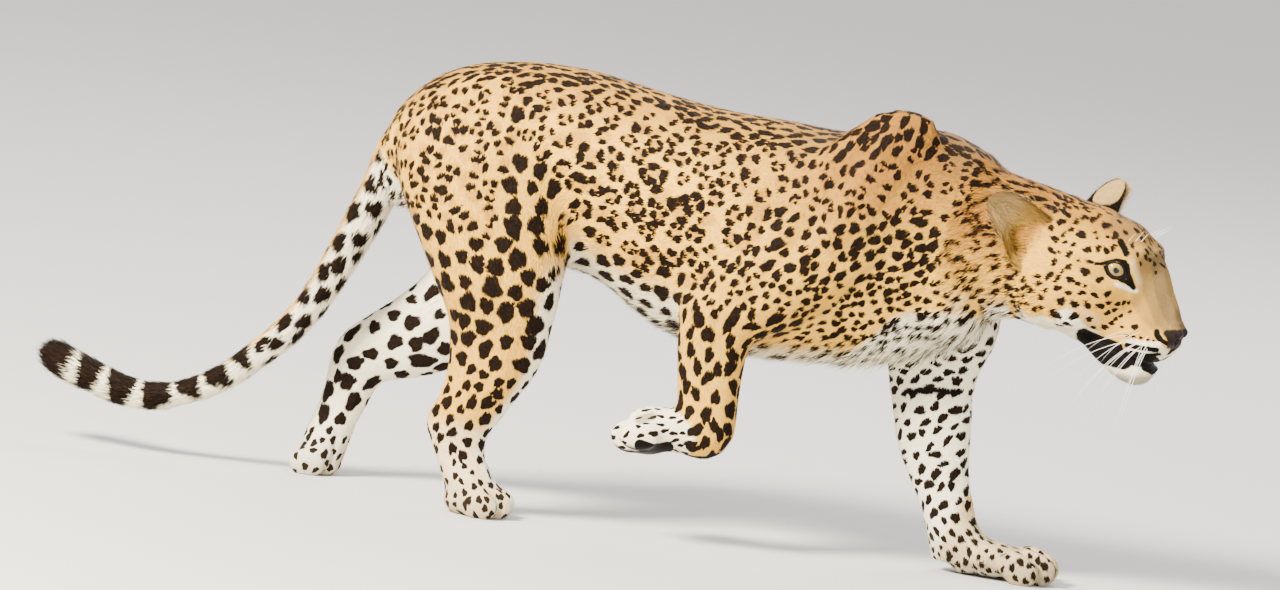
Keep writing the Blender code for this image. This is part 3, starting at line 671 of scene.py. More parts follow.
def sculpted_head(points, normals):
    """The head with its lids, nostrils, nose leather, lips and the folds of the face.

    Each detail is a bell or an edge in the head's own frame that moves points along their normals,
    apart from the lids, which lay the skin on a ball a little larger than the eye.
    """
    place = in_head(points)
    ways = normals @ HEAD[0]
    s, w, h = place.T
    aside = np.abs(w)
    # The tip of the nose and the front of the upper lip drawn back, and the throat drawn up.
    back = 0.13 * np.maximum(s - 168, 0) + 5.0 * smooth(s, 176, 204) * smooth(-h, 34, 58) * (h > -84)
    lift = 8.0 * smooth(-h, 62, 88) * smooth(s, 12, 40) * (1 - smooth(s, 78, 112))
    place = place + np.stack([-back, 0 * back, lift], axis=1)
    # The snout narrows upwards from its pads and forwards from the eyes, under a round bridge.
    pinch = smooth(s, 106, 152) * smooth(h, -50, -8 - 14 * smooth(s, 150, 190))
    place[:, 1] *= 1 - SNOUT_PINCH * (pinch * (1 - 0.35 * smooth(s, 182, 205)))
    # Forehead: a full crown between the ears, and a ridge over each eye that ends above the nose.
    push = 6.0 * bump_at(s, 98, 26) * bump_at(w, 0, 34) * smooth(h, 40, 70)
    push += 15.0 * mound((s, 124, 19), (aside, 29, 13), (h, 62, 15))
    bridge = 5.5 * smooth(s, 112, 134) * (1 - smooth(s, 150, 176))
    bridge += 1.5 * smooth(s, 150, 176) * (1 - smooth(s, 190, 202))
    push += bridge * bump_at(w, 0, 20) * smooth(ways[:, 2], 0.2, 0.7)
    # Nose leather: a raised pad with a furrow down its middle, which runs on to the lip.
    push += 1.4 * (1 - smooth(nose_measure(place), 0.85, 1.1)) * (s > 185)
    push -= 2.2 * bump_at(w, 0.0, 1.8) * smooth(s, 196, 204) * (1 - smooth(h, -34, -26)) * (h > -80)
    # Nostrils: a round hollow low beside the middle, and a slit that climbs outwards from it.
    hollow = ((aside - 10.5) / 4.2) ** 2 + ((h + 33) / 4.2) ** 2
    slit = mound((aside - 15.5 - 0.5 * (h + 28), 0, 2.2), (h, -26, 6.5))
    push -= (6.5 * np.exp(-hollow ** 1.5) + 3.0 * slit) * smooth(s, 188, 198)
    push += 2.2 * mound((aside, 14, 4.5), (h, -21, 4.5)) * smooth(s, 184, 196)
    comma = mound((s, 194, 10), (h + 38.5 + 0.012 * (s - 194) ** 2, 0, 3.0))
    push -= 3.4 * comma * smooth(aside, 8, 14)
    # Mouth: a deep narrow groove between the lips, and the lips a little swollen above and below.
    above, gap = mouth_measure(place)
    run = smooth(s, 88, 106)
    groove = np.exp(-(np.abs(above) / (0.6 * gap + 1.6)) ** 3.0)
    push -= (2.0 + 2.5 * smooth(s, 100, 160)) * groove * run
    push += 1.6 * bump_at(above, gap + 4.5, 3.0) * run
    push += 1.2 * bump_at(above, -gap - 4.0, 2.6) * run
    # Pads of the upper lip, parted at the middle, with shallow rows where the whiskers stand.
    push += 2.4 * (mound((s, 178, 26), (h, -50, 17)) * smooth(aside, 4, 16))
    for row in range(4):
        line = -38 - 8.0 * row - 0.10 * (178 - s)
        push -= 0.6 * bump_at(h, line, 1.6) * smooth(s, 148, 158) * (1 - smooth(s, 192, 200))
    # Cheek: a hollow in front of the jaw muscle, the bow of the cheek bone, and a fold below the eye.
    push -= 2.6 * mound((s, 128, 18), (h, -20, 22)) * smooth(aside, 20, 34)
    push += 2.2 * mound((s, 82, 26), (h - 2 + 0.25 * (s - 82), 0, 9)) * smooth(aside, 30, 48)
    push -= 1.2 * mound((s, 116, 14), (h - 10 + 0.3 * (s - 116), 0, 3.0)) * smooth(aside, 20, 32)
    # Crown: a shallow furrow up the forehead and the temples a little hollow.
    push -= 1.8 * bump_at(w, 0, 9) * smooth(s, 40, 70) * (1 - smooth(s, 118, 132)) * (h > 50)
    push -= 2.0 * mound((s, 62, 20), (h, 52, 16)) * smooth(aside, 34, 50)
    place = place + push[:, None] * ways
    # Lids: the skin outside the opening lies on a ball, with a crease over the upper lid, and the
    # skin within it is drawn back inside the eye.
    for side in (1, -1):
        measure, far, front, over = lid_measure(place, side)
        lid = LID_PROUD + (far - LID_PROUD) * smooth(measure, 1.0, 2.3)
        lid = lid - 0.9 * bump_at(measure, 1.62, 0.14) * (over > 0)
        inside = EYE_RADIUS - 4.0
        radius = inside + (lid - inside) * smooth(measure, 0.90, 1.03)
        centre = eye_centre(side)
        laid = centre + unit(place - centre) * radius[:, None]
        place = np.where(((front > 2) & (far < 46))[:, None], laid, place)
    return from_head(place)


def nose_measure(place):
    """How far out on the nose leather a place is: one at its edge, which narrows downwards."""
    s, w, h = place.T
    half = 8.0 + 10.5 * smooth(h, -42, -24)
    across = np.abs(w) / half
    updown = np.abs(h + 27) / 19.0
    return (across ** 4 + updown ** 4) ** 0.25 + smooth(-s, -196, -184)


# Grooves and ridges of the body: side (-1 right, 1 left, 0 both), the line's places (x, z), how far
# it moves the skin and how wide it is.
BODY_STROKES = [
    (-1, [(322, 612), (292, 560), (262, 500), (240, 452)], -3.5, 14),
    (-1, [(398, 600), (372, 540), (340, 480), (300, 430)], -2.6, 13),
    (-1, [(352, 640), (336, 590), (312, 530), (282, 470)], 2.6, 13),
    (-1, [(232, 440), (206, 400), (188, 360)], -3.0, 12),
    (-1, [(172, 352), (120, 372), (92, 350)], -2.4, 12),
    (-1, [(182, 330), (170, 290), (166, 240), (168, 200)], 1.8, 10),
    (-1, [(150, 330), (142, 280), (138, 230), (140, 190)], -1.6, 9),
    (-1, [(-92, 470), (-76, 430), (-80, 392)], -4.0, 12),
    (-1, [(-70, 500), (-52, 450), (-62, 400)], 3.0, 13),
    (-1, [(-150, 560), (-176, 500), (-190, 440), (-196, 380)], -2.4, 15),
    (-1, [(-262, 560), (-262, 480), (-246, 400), (-226, 330)], -2.2, 13),
    (-1, [(-236, 250), (-226, 216), (-238, 180)], -2.6, 8),
    (-1, [(-150, 250), (-160, 200), (-184, 160)], 1.5, 8),
    (1, [(300, 600), (326, 540), (352, 480), (372, 430)], -3.0, 14),
    (1, [(372, 590), (392, 530), (410, 470)], -2.4, 13),
    (1, [(-92, 470), (-92, 420), (-120, 370)], -3.6, 13),
    (1, [(-190, 540), (-220, 460), (-240, 380)], -2.2, 15),
    (0, [(-60, 560), (-20, 480), (10, 420)], -1.6, 16),
    (0, [(150, 560), (120, 470), (110, 380)], -1.2, 15),
    (0, [(214, 560), (190, 470), (180, 380)], -1.3, 15),
    (0, [(90, 560), (62, 470), (50, 380)], -1.2, 15),
    (0, [(440, 560), (420, 480), (420, 400)], -2.0, 16),
]


def stroke_push(points, normals):
    """The sum over all strokes of a bell across the distance from each stroke's line."""
    total = np.zeros(len(points))
    for side, line, rise, width in BODY_STROKES:
        knots = catmull(line, 8)
        flat = points[:, [0, 2]]
        nearest = np.full(len(points), 1e9)
        for a, b in zip(knots[:-1], knots[1:]):
            way = b - a
            t = np.clip((flat - a) @ way / (way @ way), 0, 1)
            nearest = np.minimum(nearest, np.linalg.norm(flat - a - t[:, None] * way, axis=1))
        facing = np.ones(len(points)) if side == 0 else smooth(side * points[:, 1], 12, 40)
        facing = facing * smooth(np.abs(normals[:, 1]), 0.15, 0.5)
        if side:
            facing = facing * (side * normals[:, 1] > 0)
        total += rise * bump_at(nearest, 0, width) * facing
    return total


def depth_of_coat(points, place, part):
    """How deep the skin lies inside the outer face of the coat."""
    depth = np.where(part_is(part, "tail"), 4.0, 3.2)
    depth = np.where(part_is(part, *LIMBS), 2.2, depth)
    depth = np.where(points[:, 2] < 70, 1.4, depth)
    head = smooth(place[:, 0], -34, 10)
    face = 2.2 - 1.5 * smooth(place[:, 0], 60, 150)
    return depth * (1 - head) + face * head


def station_table(name):
    """The centre line of a form: its places, directions along, deep and wide, and half sizes."""
    stations, lie = PART_STATIONS[name]
    rows, deep, wide = slices(stations, lie, 6)
    centres = rows[:, :3]
    if name == "head":
        centres = from_head(centres)
        deep = deep @ HEAD[0].T
        wide = wide @ HEAD[0].T
    along = unit(np.gradient(centres, axis=0))
    arc = np.concatenate([[0], np.cumsum(np.linalg.norm(np.diff(centres, axis=0), axis=1))])
    return centres, along, deep, wide, rows[:, 3], rows[:, 4], arc


ROW_BLOCK = 4000
STATIONS = {name: station_table(name) for name in PART_NAMES}


def located(points):
    """For each point: the form it belongs to, its place along, deep and wide in that form, the
    share of the form's length before it, and the form's direction there.

    A point belongs to the form in whose oval slice it lies nearest to the middle, counted in
    half sizes of the slice.
    """
    best = np.full(len(points), 1e9)
    part = np.zeros(len(points), dtype=np.int64)
    local = np.zeros((len(points), 3))
    share = np.zeros(len(points))
    way = np.zeros((len(points), 3))
    deep_way = np.zeros((len(points), 3))
    for k, name in enumerate(PART_NAMES):
        centres, along, deep, wide, half_deep, half_wide, arc = STATIONS[name]
        index = nearest_row(points, centres)
        away = points - centres[index]
        run, d, w = (dot(away, axis[index]) for axis in (along, deep, wide))
        step = np.maximum(arc[np.minimum(index + 1, len(arc) - 1)] - arc[np.maximum(index - 1, 0)], 1) / 2
        beyond = np.maximum(np.abs(run) - step, 0) / 30.0
        measure = np.hypot(d / half_deep[index], w / half_wide[index]) + beyond
        if name == "head":
            measure = np.where(in_head(points)[:, 0] > -26, measure * 0.3, 9.0)
        hit = measure < best
        best = np.where(hit, measure, best)
        part = np.where(hit, k, part)
        local[hit] = np.stack([arc[index] + run, d, w], axis=1)[hit]
        share = np.where(hit, (arc[index] + run) / arc[-1], share)
        way[hit] = along[index][hit] * HAIR_WAY[name]
        deep_way[hit] = deep[index][hit]
    return part, local, share, way, deep_way


def nearest_row(points, rows):
    """The index of the nearest row for each point, worked out in blocks."""
    size = np.sum(rows * rows, axis=1)
    blocks = [points[start:start + ROW_BLOCK] for start in range(0, len(points), ROW_BLOCK)]
    return np.concatenate([np.argmin(size - 2 * block @ rows.T, axis=1) for block in blocks])


EAR_LOBE = 0.9
EAR_ROWS = 34
EAR_COLUMNS = 27


def ear_shell(ear):
    """One ear as a closed cupped shell, with what each of its points is.

    Its grid runs along from the buried root to the tip and across from edge to edge, first over
    the inside and back over the outside.  The edge is a round arch, the middle is set back by the
    cup, and the wall is thinnest at the rim.  Returned with the points are the place along, the
    place across and whether a point is on the inside.
    """
    root, tip, face = (reordered(ear[key]) for key in ("root", "tip", "face"))
    long_way = tip - root
    face = unit(face - long_way * (face @ long_way) / (long_way @ long_way))
    side = np.cross(face, unit(long_way))
    along = np.linspace(-EAR_BURIED, 1.0, EAR_ROWS)[:, None]
    across = np.sin(np.linspace(-math.pi / 2, math.pi / 2, EAR_COLUMNS))[None, :]
    narrow = np.sqrt(np.clip(1 - np.clip((along - 0.35) / 0.65, 0, 1) ** 2.3, 0.004, 1))
    narrow = narrow * np.clip(1.0 + 0.25 * np.clip(-along, 0, 1), 1.0, 1.1)
    narrow = narrow * (1 + EAR_LOBE * bump_at(along, 0.05, 0.38) * smooth(across, 0.0, 0.6))
    cup = EAR_CUP * (1 - across ** 2) * (0.35 + 0.65 * np.clip(1 - along, 0, 1) ** 0.6)
    wall = (EAR_WALL - 2.0) * (1 - 0.8 * across ** 4) * (1 - 0.6 * np.clip(along, 0, 1) ** 3)
    half = EAR_HALF_WIDTH - 1.2
    inner = (root + along[..., None] * long_way * 0.985
             + (across * narrow * half)[..., None] * side - (cup * narrow + 1.0)[..., None] * face)
    outer = inner - (wall * narrow)[..., None] * face
    rings = np.concatenate([inner, outer[:, ::-1]], axis=1)
    rows, sides = rings.shape[:2]
    along_all = np.repeat(along, sides, axis=1)
    across_all = np.concatenate([np.repeat(across, rows, axis=0),
                                 np.repeat(across[:, ::-1], rows, axis=0)], axis=1)
    is_inner = np.zeros((rows, sides))
    is_inner[:, :sides // 2] = 1.0
    quads = grid_quads(rows, sides)
    tris = np.vstack([quads[:, [0, 1, 2]], quads[:, [0, 2, 3]]])
    half_way = sides // 2
    foot = [(j, j + 1, sides - 1 - j) for j in range(half_way)]
    foot += [(j + 1, sides - 2 - j, sides - 1 - j) for j in range(half_way - 1)]
    foot = np.array(foot)
    tris = np.vstack([tris, foot + (rows - 1) * sides, foot[:, [1, 0, 2]]])
    points = from_head(rings.reshape(-1, 3))
    return points, facing_out(points, tris), along_all.ravel(), across_all.ravel(), is_inner.ravel()


def facing_out(points, tris):
    """The triangles of a closed surface turned so that they enclose a positive volume."""
    a, b, c = points[tris[:, 0]], points[tris[:, 1]], points[tris[:, 2]]
    if np.sum(a * np.cross(b, c)) < 0:
        return tris[:, ::-1]
    return tris


def single_faces(tris):
    """The triangles that use three points and that no other one lies upon."""
    ranked = np.sort(tris, axis=1)
    _, place, count = np.unique(ranked, axis=0, return_inverse=True, return_counts=True)
    whole = (ranked[:, 0] < ranked[:, 1]) & (ranked[:, 1] < ranked[:, 2])
    return tris[whole & (count[place.ravel()] == 1)]


# The least height of the skin's soles, and the last rounds of its smoothing.
SOLE_HEIGHT = 0.6
LAST_ROUNDS = 3
LAST_SHARES = (0.5, 0.52)


def build_skin():
    """The skin of the whole animal, with its ears, in millimetres."""
    points, quads = fused(body_forms() + head_forms(), VOXEL_BODY, FILL_BODY, EASE_BODY)
    points, tris = divided(points, quads, (head_and_paws, face_and_toes, fine_features))
    fine = fused(head_forms() + foot_forms(), VOXEL_FINE, FILL_FINE, EASE_FINE)
    s = in_head(points)[:, 0]
    x, y, z = points.T
    lifted = smooth(-x, -118, -98) * smooth(-y, 40, 55) * smooth(z, 100, 112) * (1 - smooth(z, 205, 220))
    weight = np.maximum(smooth(s, -34, -6), np.maximum(1 - smooth(z, 50, 70), lifted))
    points = eased(laid_on(points, weight, fine), edges_of(tris), LAST_ROUNDS, *LAST_SHARES)
    normals = outward(points, tris)
    place = in_head(points)
    part = located(points)[0]
    strokes = stroke_push(points, normals) * (1 - smooth(place[:, 0], -60, -20))
    points = points + strokes[:, None] * normals
    points = points - depth_of_coat(points, place, part)[:, None] * normals
    points = points + toe_grooves(points, normals)[:, None] * normals
    head = place[:, 0] > 10
    points[head] = sculpted_head(points[head], normals[head])
    points[:, 2] = np.maximum(points[:, 2], SOLE_HEIGHT)
    ear_grid = np.zeros((len(points), 4))
    for number, ear in enumerate((EAR_LEFT, EAR_RIGHT)):
        ear_points, ear_tris, along, across, inside = ear_shell(ear)
        tris = np.vstack([tris, ear_tris + len(points)])
        points = np.vstack([points, ear_points])
        ear_grid = np.vstack([ear_grid, np.stack([along * 0 + 1 + number, along, across, inside], axis=1)])
    skin = SimpleNamespace(points=points, tris=single_faces(tris), ear=ear_grid, place=in_head(points))
    skin.normals = outward(points, skin.tris)
    skin.tree = tree_of(points, skin.tris)
    return skin


# From the frame of the tables to the frame of the part: the way between the two places of one eye.
EYE_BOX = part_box("eye_right")
SHIFT = np.array([(a + b) / 2 for a, b in zip(*EYE_BOX)]) - from_head(reordered(SOLID_EYE)) * MM


def in_metres(points):
    """Places of the tables, in the metres of the model."""
    return np.asarray(points) * MM + SHIFT


def mesh_piece(name, points, faces):
    """A smooth mesh object from arrays of places in metres and of faces alike in size."""
    faces = np.asarray(faces)
    mesh = bpy.data.meshes.new(name)
    mesh.vertices.add(len(points))
    mesh.vertices.foreach_set("co", np.asarray(points, dtype=np.float32).ravel())
    mesh.loops.add(faces.size)
    mesh.loops.foreach_set("vertex_index", faces.astype(np.int32).ravel())
    mesh.polygons.add(len(faces))
    mesh.polygons.foreach_set("loop_start", np.arange(len(faces), dtype=np.int32) * faces.shape[1])
    mesh.update(calc_edges=True)
    mesh.shade_smooth()
    return put(name, mesh)


def give(item, name, domain, values):
    """A named value on the corners or the points of a piece."""
    values = np.asarray(values, dtype=np.float32)
    kind = "FLOAT_VECTOR" if values.ndim == 2 else "FLOAT"
    made = item.data.attributes.new(name, kind, domain)
    made.data.foreach_set("vector" if values.ndim == 2 else "value", values.ravel())


# Camera: the photo's view, its pixels in millimetres, and the camera's distance in metres.
PIXEL = 1.40
PHOTO = (1280, 590)
VIEW_TARGET = (0.0, 0.0, 329.0)
VIEW_TURN = 12.0
VIEW_RISE = 7.5
VIEW_ROLL = 7.0
VIEW_AWAY = 60.0
VIEW_END = 200.0
SENSOR = 36.0

# Studio, in metres: half the floor's width, its colour and the sky's, and the lights as name, place,
# width, power and colour, all of which face one place.
FLOOR = 30.0
FLOOR_COLOUR = (0.52, 0.505, 0.48, 1.0)
SKY_COLOUR = (0.93, 0.96, 1.0, 1.0)
SKY_STRENGTH = 1.3
LIGHT_AIM = (0.0, 0.0, 0.3)
LIGHTS = [
    ("key", (-2.2, -3.0, 3.6), 1.3, 1350.0, (1.0, 0.94, 0.82)),
    ("fill", (3.4, -2.6, 1.6), 2.4, 90.0, (0.95, 0.97, 1.0)),
    ("back", (0.6, 3.2, 2.8), 2.2, 140.0, (1.0, 0.98, 0.95)),
]


def view_axes():
    """The camera's right, up and back directions: turned round the animal, raised and then rolled."""
    turn = math.radians(VIEW_TURN)
    rise = math.radians(VIEW_RISE)
    roll = math.radians(VIEW_ROLL)
    right = np.array([math.cos(turn), math.sin(turn), 0.0])
    up = np.array([-math.sin(turn) * math.sin(rise), math.cos(turn) * math.sin(rise), math.cos(rise)])
    back = np.array([math.sin(turn) * math.cos(rise), -math.cos(turn) * math.cos(rise), math.sin(rise)])
    return (math.cos(roll) * right + math.sin(roll) * up,
            math.cos(roll) * up - math.sin(roll) * right, back)


def build_camera():
    """The camera far back with a long lens, rolled as the photo is."""
    right, up, back = view_axes()
    data = bpy.data.cameras.new("camera")
    data.sensor_width = SENSOR
    data.lens = SENSOR * VIEW_AWAY / (PHOTO[0] * PIXEL * MM)
    data.clip_end = VIEW_END
    seat = in_metres(VIEW_TARGET) + back * VIEW_AWAY
    rows = [(*row, place) for row, place in zip(np.array([right, up, back]).T, seat)]
    camera = put("camera", data)
    camera.matrix_world = Matrix(rows + [(0, 0, 0, 1)])
    bpy.context.scene.camera = camera


def soft_light(name, place, width, power, colour):
    """A square area light that faces the middle of the animal."""
    data = bpy.data.lights.new(name, "AREA")
    data.size = width
    data.energy = power
    data.color = colour
    light = put(name, data)
    light.rotation_euler = (Vector(LIGHT_AIM) - Vector(place)).to_track_quat("-Z", "Y").to_euler()
    light.location = place


def build_studio():
    """A wide pale floor, even soft light from above and a warmer key from the front right."""
    corners = [(-FLOOR, -FLOOR, 0), (FLOOR, -FLOOR, 0), (FLOOR, FLOOR, 0), (-FLOOR, FLOOR, 0)]
    floor = mesh_piece("floor", corners, [(0, 1, 2, 3)])
    made, _, shader = new_material("pale floor")
    shader.inputs["Base Color"].default_value = FLOOR_COLOUR
    shader.inputs["Roughness"].default_value = 0.9
    floor.data.materials.append(made)
    world = bpy.data.worlds.new("studio")
    world.use_nodes = True
    sky = world.node_tree.nodes["Background"]
    sky.inputs["Color"].default_value = SKY_COLOUR
    sky.inputs["Strength"].default_value = SKY_STRENGTH
    bpy.context.scene.world = world
    for light in LIGHTS:
        soft_light(*light)


# Down-tilt of the hairs, in degrees, at the middle of the flank, at the rump, on the neck and on the
# cheek, and the rounds and the share of the smoothing of their lie.
TILT_FLANK = 24
TILT_RUMP = 66
TILT_NECK = 28
TILT_CHEEK = 30
FLOW_ROUNDS = 16
FLOW_SHARE = 0.4


def lay_fields(skin):
    """The form, the place in it and the lie of the hairs at each point of the skin."""
    part, skin.local, skin.share, way, skin.deep_way = located(skin.points)
    skin.is_ear = skin.ear[:, 0] > 0
    part[skin.is_ear] = PART_NAMES.index("head")
    side = smooth(np.abs(skin.normals[:, 1]), 0.15, 0.75)
    rear = smooth(-skin.points[:, 0], 90, 340)
    tilt = np.where(part_is(part, "trunk"), TILT_FLANK + (TILT_RUMP - TILT_FLANK) * rear, 0.0)
    tilt = np.where(part_is(part, "neck"), TILT_NECK, tilt)
    s, w, h = skin.place.T
    cheek = smooth(-h, -20, 60) * smooth(np.abs(w), 15, 40)
    tilt = np.where(part_is(part, "head"), TILT_CHEEK * cheek, tilt)
    angle = np.radians(tilt * side)[:, None]
    flow = way * np.cos(angle) + np.array([0.0, 0.0, -1.0]) * np.sin(angle)
    for number, ear in enumerate((EAR_LEFT, EAR_RIGHT)):
        along = reordered(ear["tip"]) - reordered(ear["root"])
        flow[skin.ear[:, 0] == number + 1] = unit(HEAD[0] @ along)
    pairs = edges_of(skin.tris)
    for _ in range(FLOW_ROUNDS):
        flow = laid_flat(FLOW_SHARE * flow + (1 - FLOW_SHARE) * neighbour_mean(flow, pairs), skin.normals)
    skin.part = part
    skin.flow = flow


def on_photo(points):
    """Where places of the model, in millimetres, fall in the photo's 1280 by 590 frame."""
    right, up, back = view_axes()
    away = points - np.array(VIEW_TARGET)
    nearer = 1 - (away @ back) * MM / VIEW_AWAY
    return (PHOTO[0] / 2 + away @ right / (PIXEL * nearer), PHOTO[1] / 2 - away @ up / (PIXEL * nearer))


# Painted strokes of the near side of the face, and so of the far side too: the colour they carry,
# their line in the photo's frame, their half width in its pixels, and how strong they are.  A fold
# is painted shade: the dark crease at the ear's inner edge.  The grey stroke under the chin is
# painted shade too.
FACE_STROKES = [
    ("ink_and_shade", [(1084, 335), (1100, 343), (1116, 349)], 7.0, 1.0),
    ("ink_and_shade", [(1088, 341), (1106, 357), (1124, 362)], 7.5, 1.0),
    ("ink_and_shade", [(1110, 352), (1126, 358), (1140, 361), (1154, 362)], 6.0, 1.0),
    ("ink_and_shade", [(1127, 345), (1141, 348), (1157, 350)], 2.2, 1.0),
    ("ink_and_shade", [(1131, 352), (1146, 355), (1160, 354)], 1.5, 0.9),
    ("ink_and_shade", [(1096, 264), (1102, 264), (1108, 262), (1117, 260), (1126, 262)], 1.6, 1.0),
    ("ink_and_shade", [(1105, 267), (1108, 274), (1113, 278), (1120, 279), (1126, 277)], 1.5, 1.0),
    ("ink_and_shade", [(1121, 263), (1125, 267)], 2.0, 1.0),
    ("ink_and_shade", [(1127, 266), (1128, 274), (1132, 285)], 2.8, 1.0),
    ("ink_and_shade", [(1121, 280), (1127, 282), (1134, 288)], 2.3, 1.0),
    ("ink_and_shade", [(1157, 332), (1157, 335), (1160, 339)], 2.9, 1.0),
    ("ink_and_shade", [(1160, 339), (1164, 342), (1170, 345)], 2.0, 1.0),
    ("ink_and_shade", [(1180, 347), (1174, 351), (1170, 357)], 4.0, 0.9),
    ("white", [(1158, 348), (1166, 352)], 3.6, 0.7),
    ("ink_and_shade", [(1146, 367), (1151, 369), (1155, 372)], 4.4, 1.0),
    # painted shade under the chin, in grey
    ("grey_and_shade", [(1114, 382), (1132, 387), (1150, 384)], 9.0, 0.6),
    ("ink_and_shade", [(1121, 242), (1124, 247), (1127, 254)], 3.2, 1.0),
    ("white", [(1133, 262), (1136, 272), (1140, 282)], 3.6, 0.38),
    ("white", [(1117, 285), (1126, 288), (1136, 291)], 2.4, 0.75),
    ("white", [(1126, 372), (1142, 370), (1159, 368)], 5.0, 1.0),
    ("white", [(1128, 343), (1142, 345), (1158, 345)], 3.2, 0.9),
    ("white", [(1130, 350), (1146, 352), (1160, 351)], 2.6, 1.0),
    ("white", [(1112, 377), (1130, 383), (1150, 380), (1160, 372)], 12.0, 1.0),
    ("white", [(1066, 318), (1078, 330), (1082, 340)], 9.0, 1.0),
    ("white", [(1040, 322), (1058, 328), (1082, 344)], 4.0, 0.6),
    ("white", [(1072, 306), (1085, 314), (1096, 322)], 6.0, 0.3),
    ("grey_and_shade", [(1152, 262), (1156, 290), (1166, 316), (1178, 326)], 15.0, 0.85),
    ("grey_and_shade", [(1122, 226), (1136, 240), (1148, 254)], 13.0, 0.5),
    # painted shade: the dark crease at the ear's inner edge
    ("fold", [(1015, 233), (1018, 241), (1023, 250)], 5.5, 0.8),
    ("grey_and_shade", [(1158, 262), (1162, 290), (1170, 314), (1180, 326)], 9.0, 1.0),
    ("grey_and_shade", [(1140, 300), (1149, 316), (1158, 324)], 8.0, 0.6),
    ("tan", [(1128, 306), (1136, 322), (1142, 332)], 8.0, 0.45),
    ("tan", [(1040, 215), (1046, 240), (1052, 262)], 12.0, 0.35),
    ("tan", [(1080, 262), (1098, 272)], 8.0, 0.5),
]


# Strokes of the body's coat, in the photo's frame: the form they lie on, the colour they carry,
# their line and their half width.
COAT_STROKES = [
    ("foreleg_left", "ink_and_shade", [(903, 394), (915, 390), (930, 391), (944, 392), (958, 390)], 3.0),
    # lower side of the lifted paw: its dark spots, with painted shade over them, in black
    ("forepaw_right", "ink_and_shade", [(640, 445), (654, 450), (668, 447)], 5.5),
    ("forepaw_right", "grey_and_shade", [(639, 420), (652, 416)], 4.0),
    ("forearm_right", "ink_and_shade", [(678, 455), (692, 459), (708, 460), (718, 456)], 3.2),
]
# Where the white of the chest begins, in the photo's frame: across, and down.
CHEST_WHITE = [(845, 352), (862, 341), (877, 331), (890, 317),
               (905, 311), (950, 309), (985, 314), (1004, 330)]


def stroke_cover(px, py, line, half):
    """How far a stroke covers a place: one on its line, and nought a little beyond its half width."""
    nearest = np.full(len(px), 1e9)
    for (ax, ay), (bx, by) in zip(line[:-1], line[1:]):
        dx, dy = bx - ax, by - ay
        t = np.clip(((px - ax) * dx + (py - ay) * dy) / (dx * dx + dy * dy), 0, 1)
        nearest = np.minimum(nearest, np.hypot(px - ax - t * dx, py - ay - t * dy))
    soft = 1.1 + 0.25 * np.maximum(half - 3.0, 0.0)
    return 1 - smooth(nearest, half - soft, half + 1.4 * soft)


def face_paint(skin):
    """The painted strokes of the face at each point, the far side mirrored from the near side."""
    mirrored = skin.place * np.array([1.0, -1.0, 1.0])
    near = np.where(skin.place[:, 1:2] > 0, mirrored, skin.place)
    px, py = on_photo(from_head(near))
    ways = skin.normals @ HEAD[0]
    tip = (skin.place[:, 0] > 140) & (skin.place[:, 2] < -34)
    aside = np.maximum(smooth(np.abs(ways[:, 1]), 0.05, 0.3), tip)
    face = (skin.place[:, 0] > 0) * ~skin.is_ear
    where = dict.fromkeys(("ink_and_shade", "white", "tan"), aside * face)
    # the fold's painted shade reaches back past the ear's root
    where |= {"grey_and_shade": face, "fold": aside * (skin.place[:, 0] > -80)}
    paint = {name: np.zeros(len(px)) for name in where}
    for name, line, half, strength in FACE_STROKES:
        cover = stroke_cover(px, py, line, half) * where[name] * strength
        if name == "ink_and_shade":
            paint["white"] *= 1 - cover
        paint[name] = np.maximum(paint[name], cover)
    return paint


def coat_paint(skin):
    """The strokes of the body's coat at each point, and the white of the chest on both sides."""
    px, py = on_photo(skin.points)
    paint = {name: np.zeros(len(px)) for name in ("ink_and_shade", "grey_and_shade")}
    for form, name, line, half in COAT_STROKES:
        facing = smooth(-skin.normals[:, 1], -0.1, 0.3) * part_is(skin.part, form)
        paint[name] = np.maximum(paint[name], stroke_cover(px, py, line, half) * facing)
    px, py = on_photo(np.where(skin.points[:, 1:2] > 0, skin.points * (1, -1, 1), skin.points))
    edge = np.interp(px, *np.array(CHEST_WHITE).T)
    ends = (px > CHEST_WHITE[0][0]) & (px < CHEST_WHITE[-1][0])
    paint["chest"] = smooth(py - edge, -4, 9) * ends * part_is(skin.part, "trunk", "neck")
    return paint


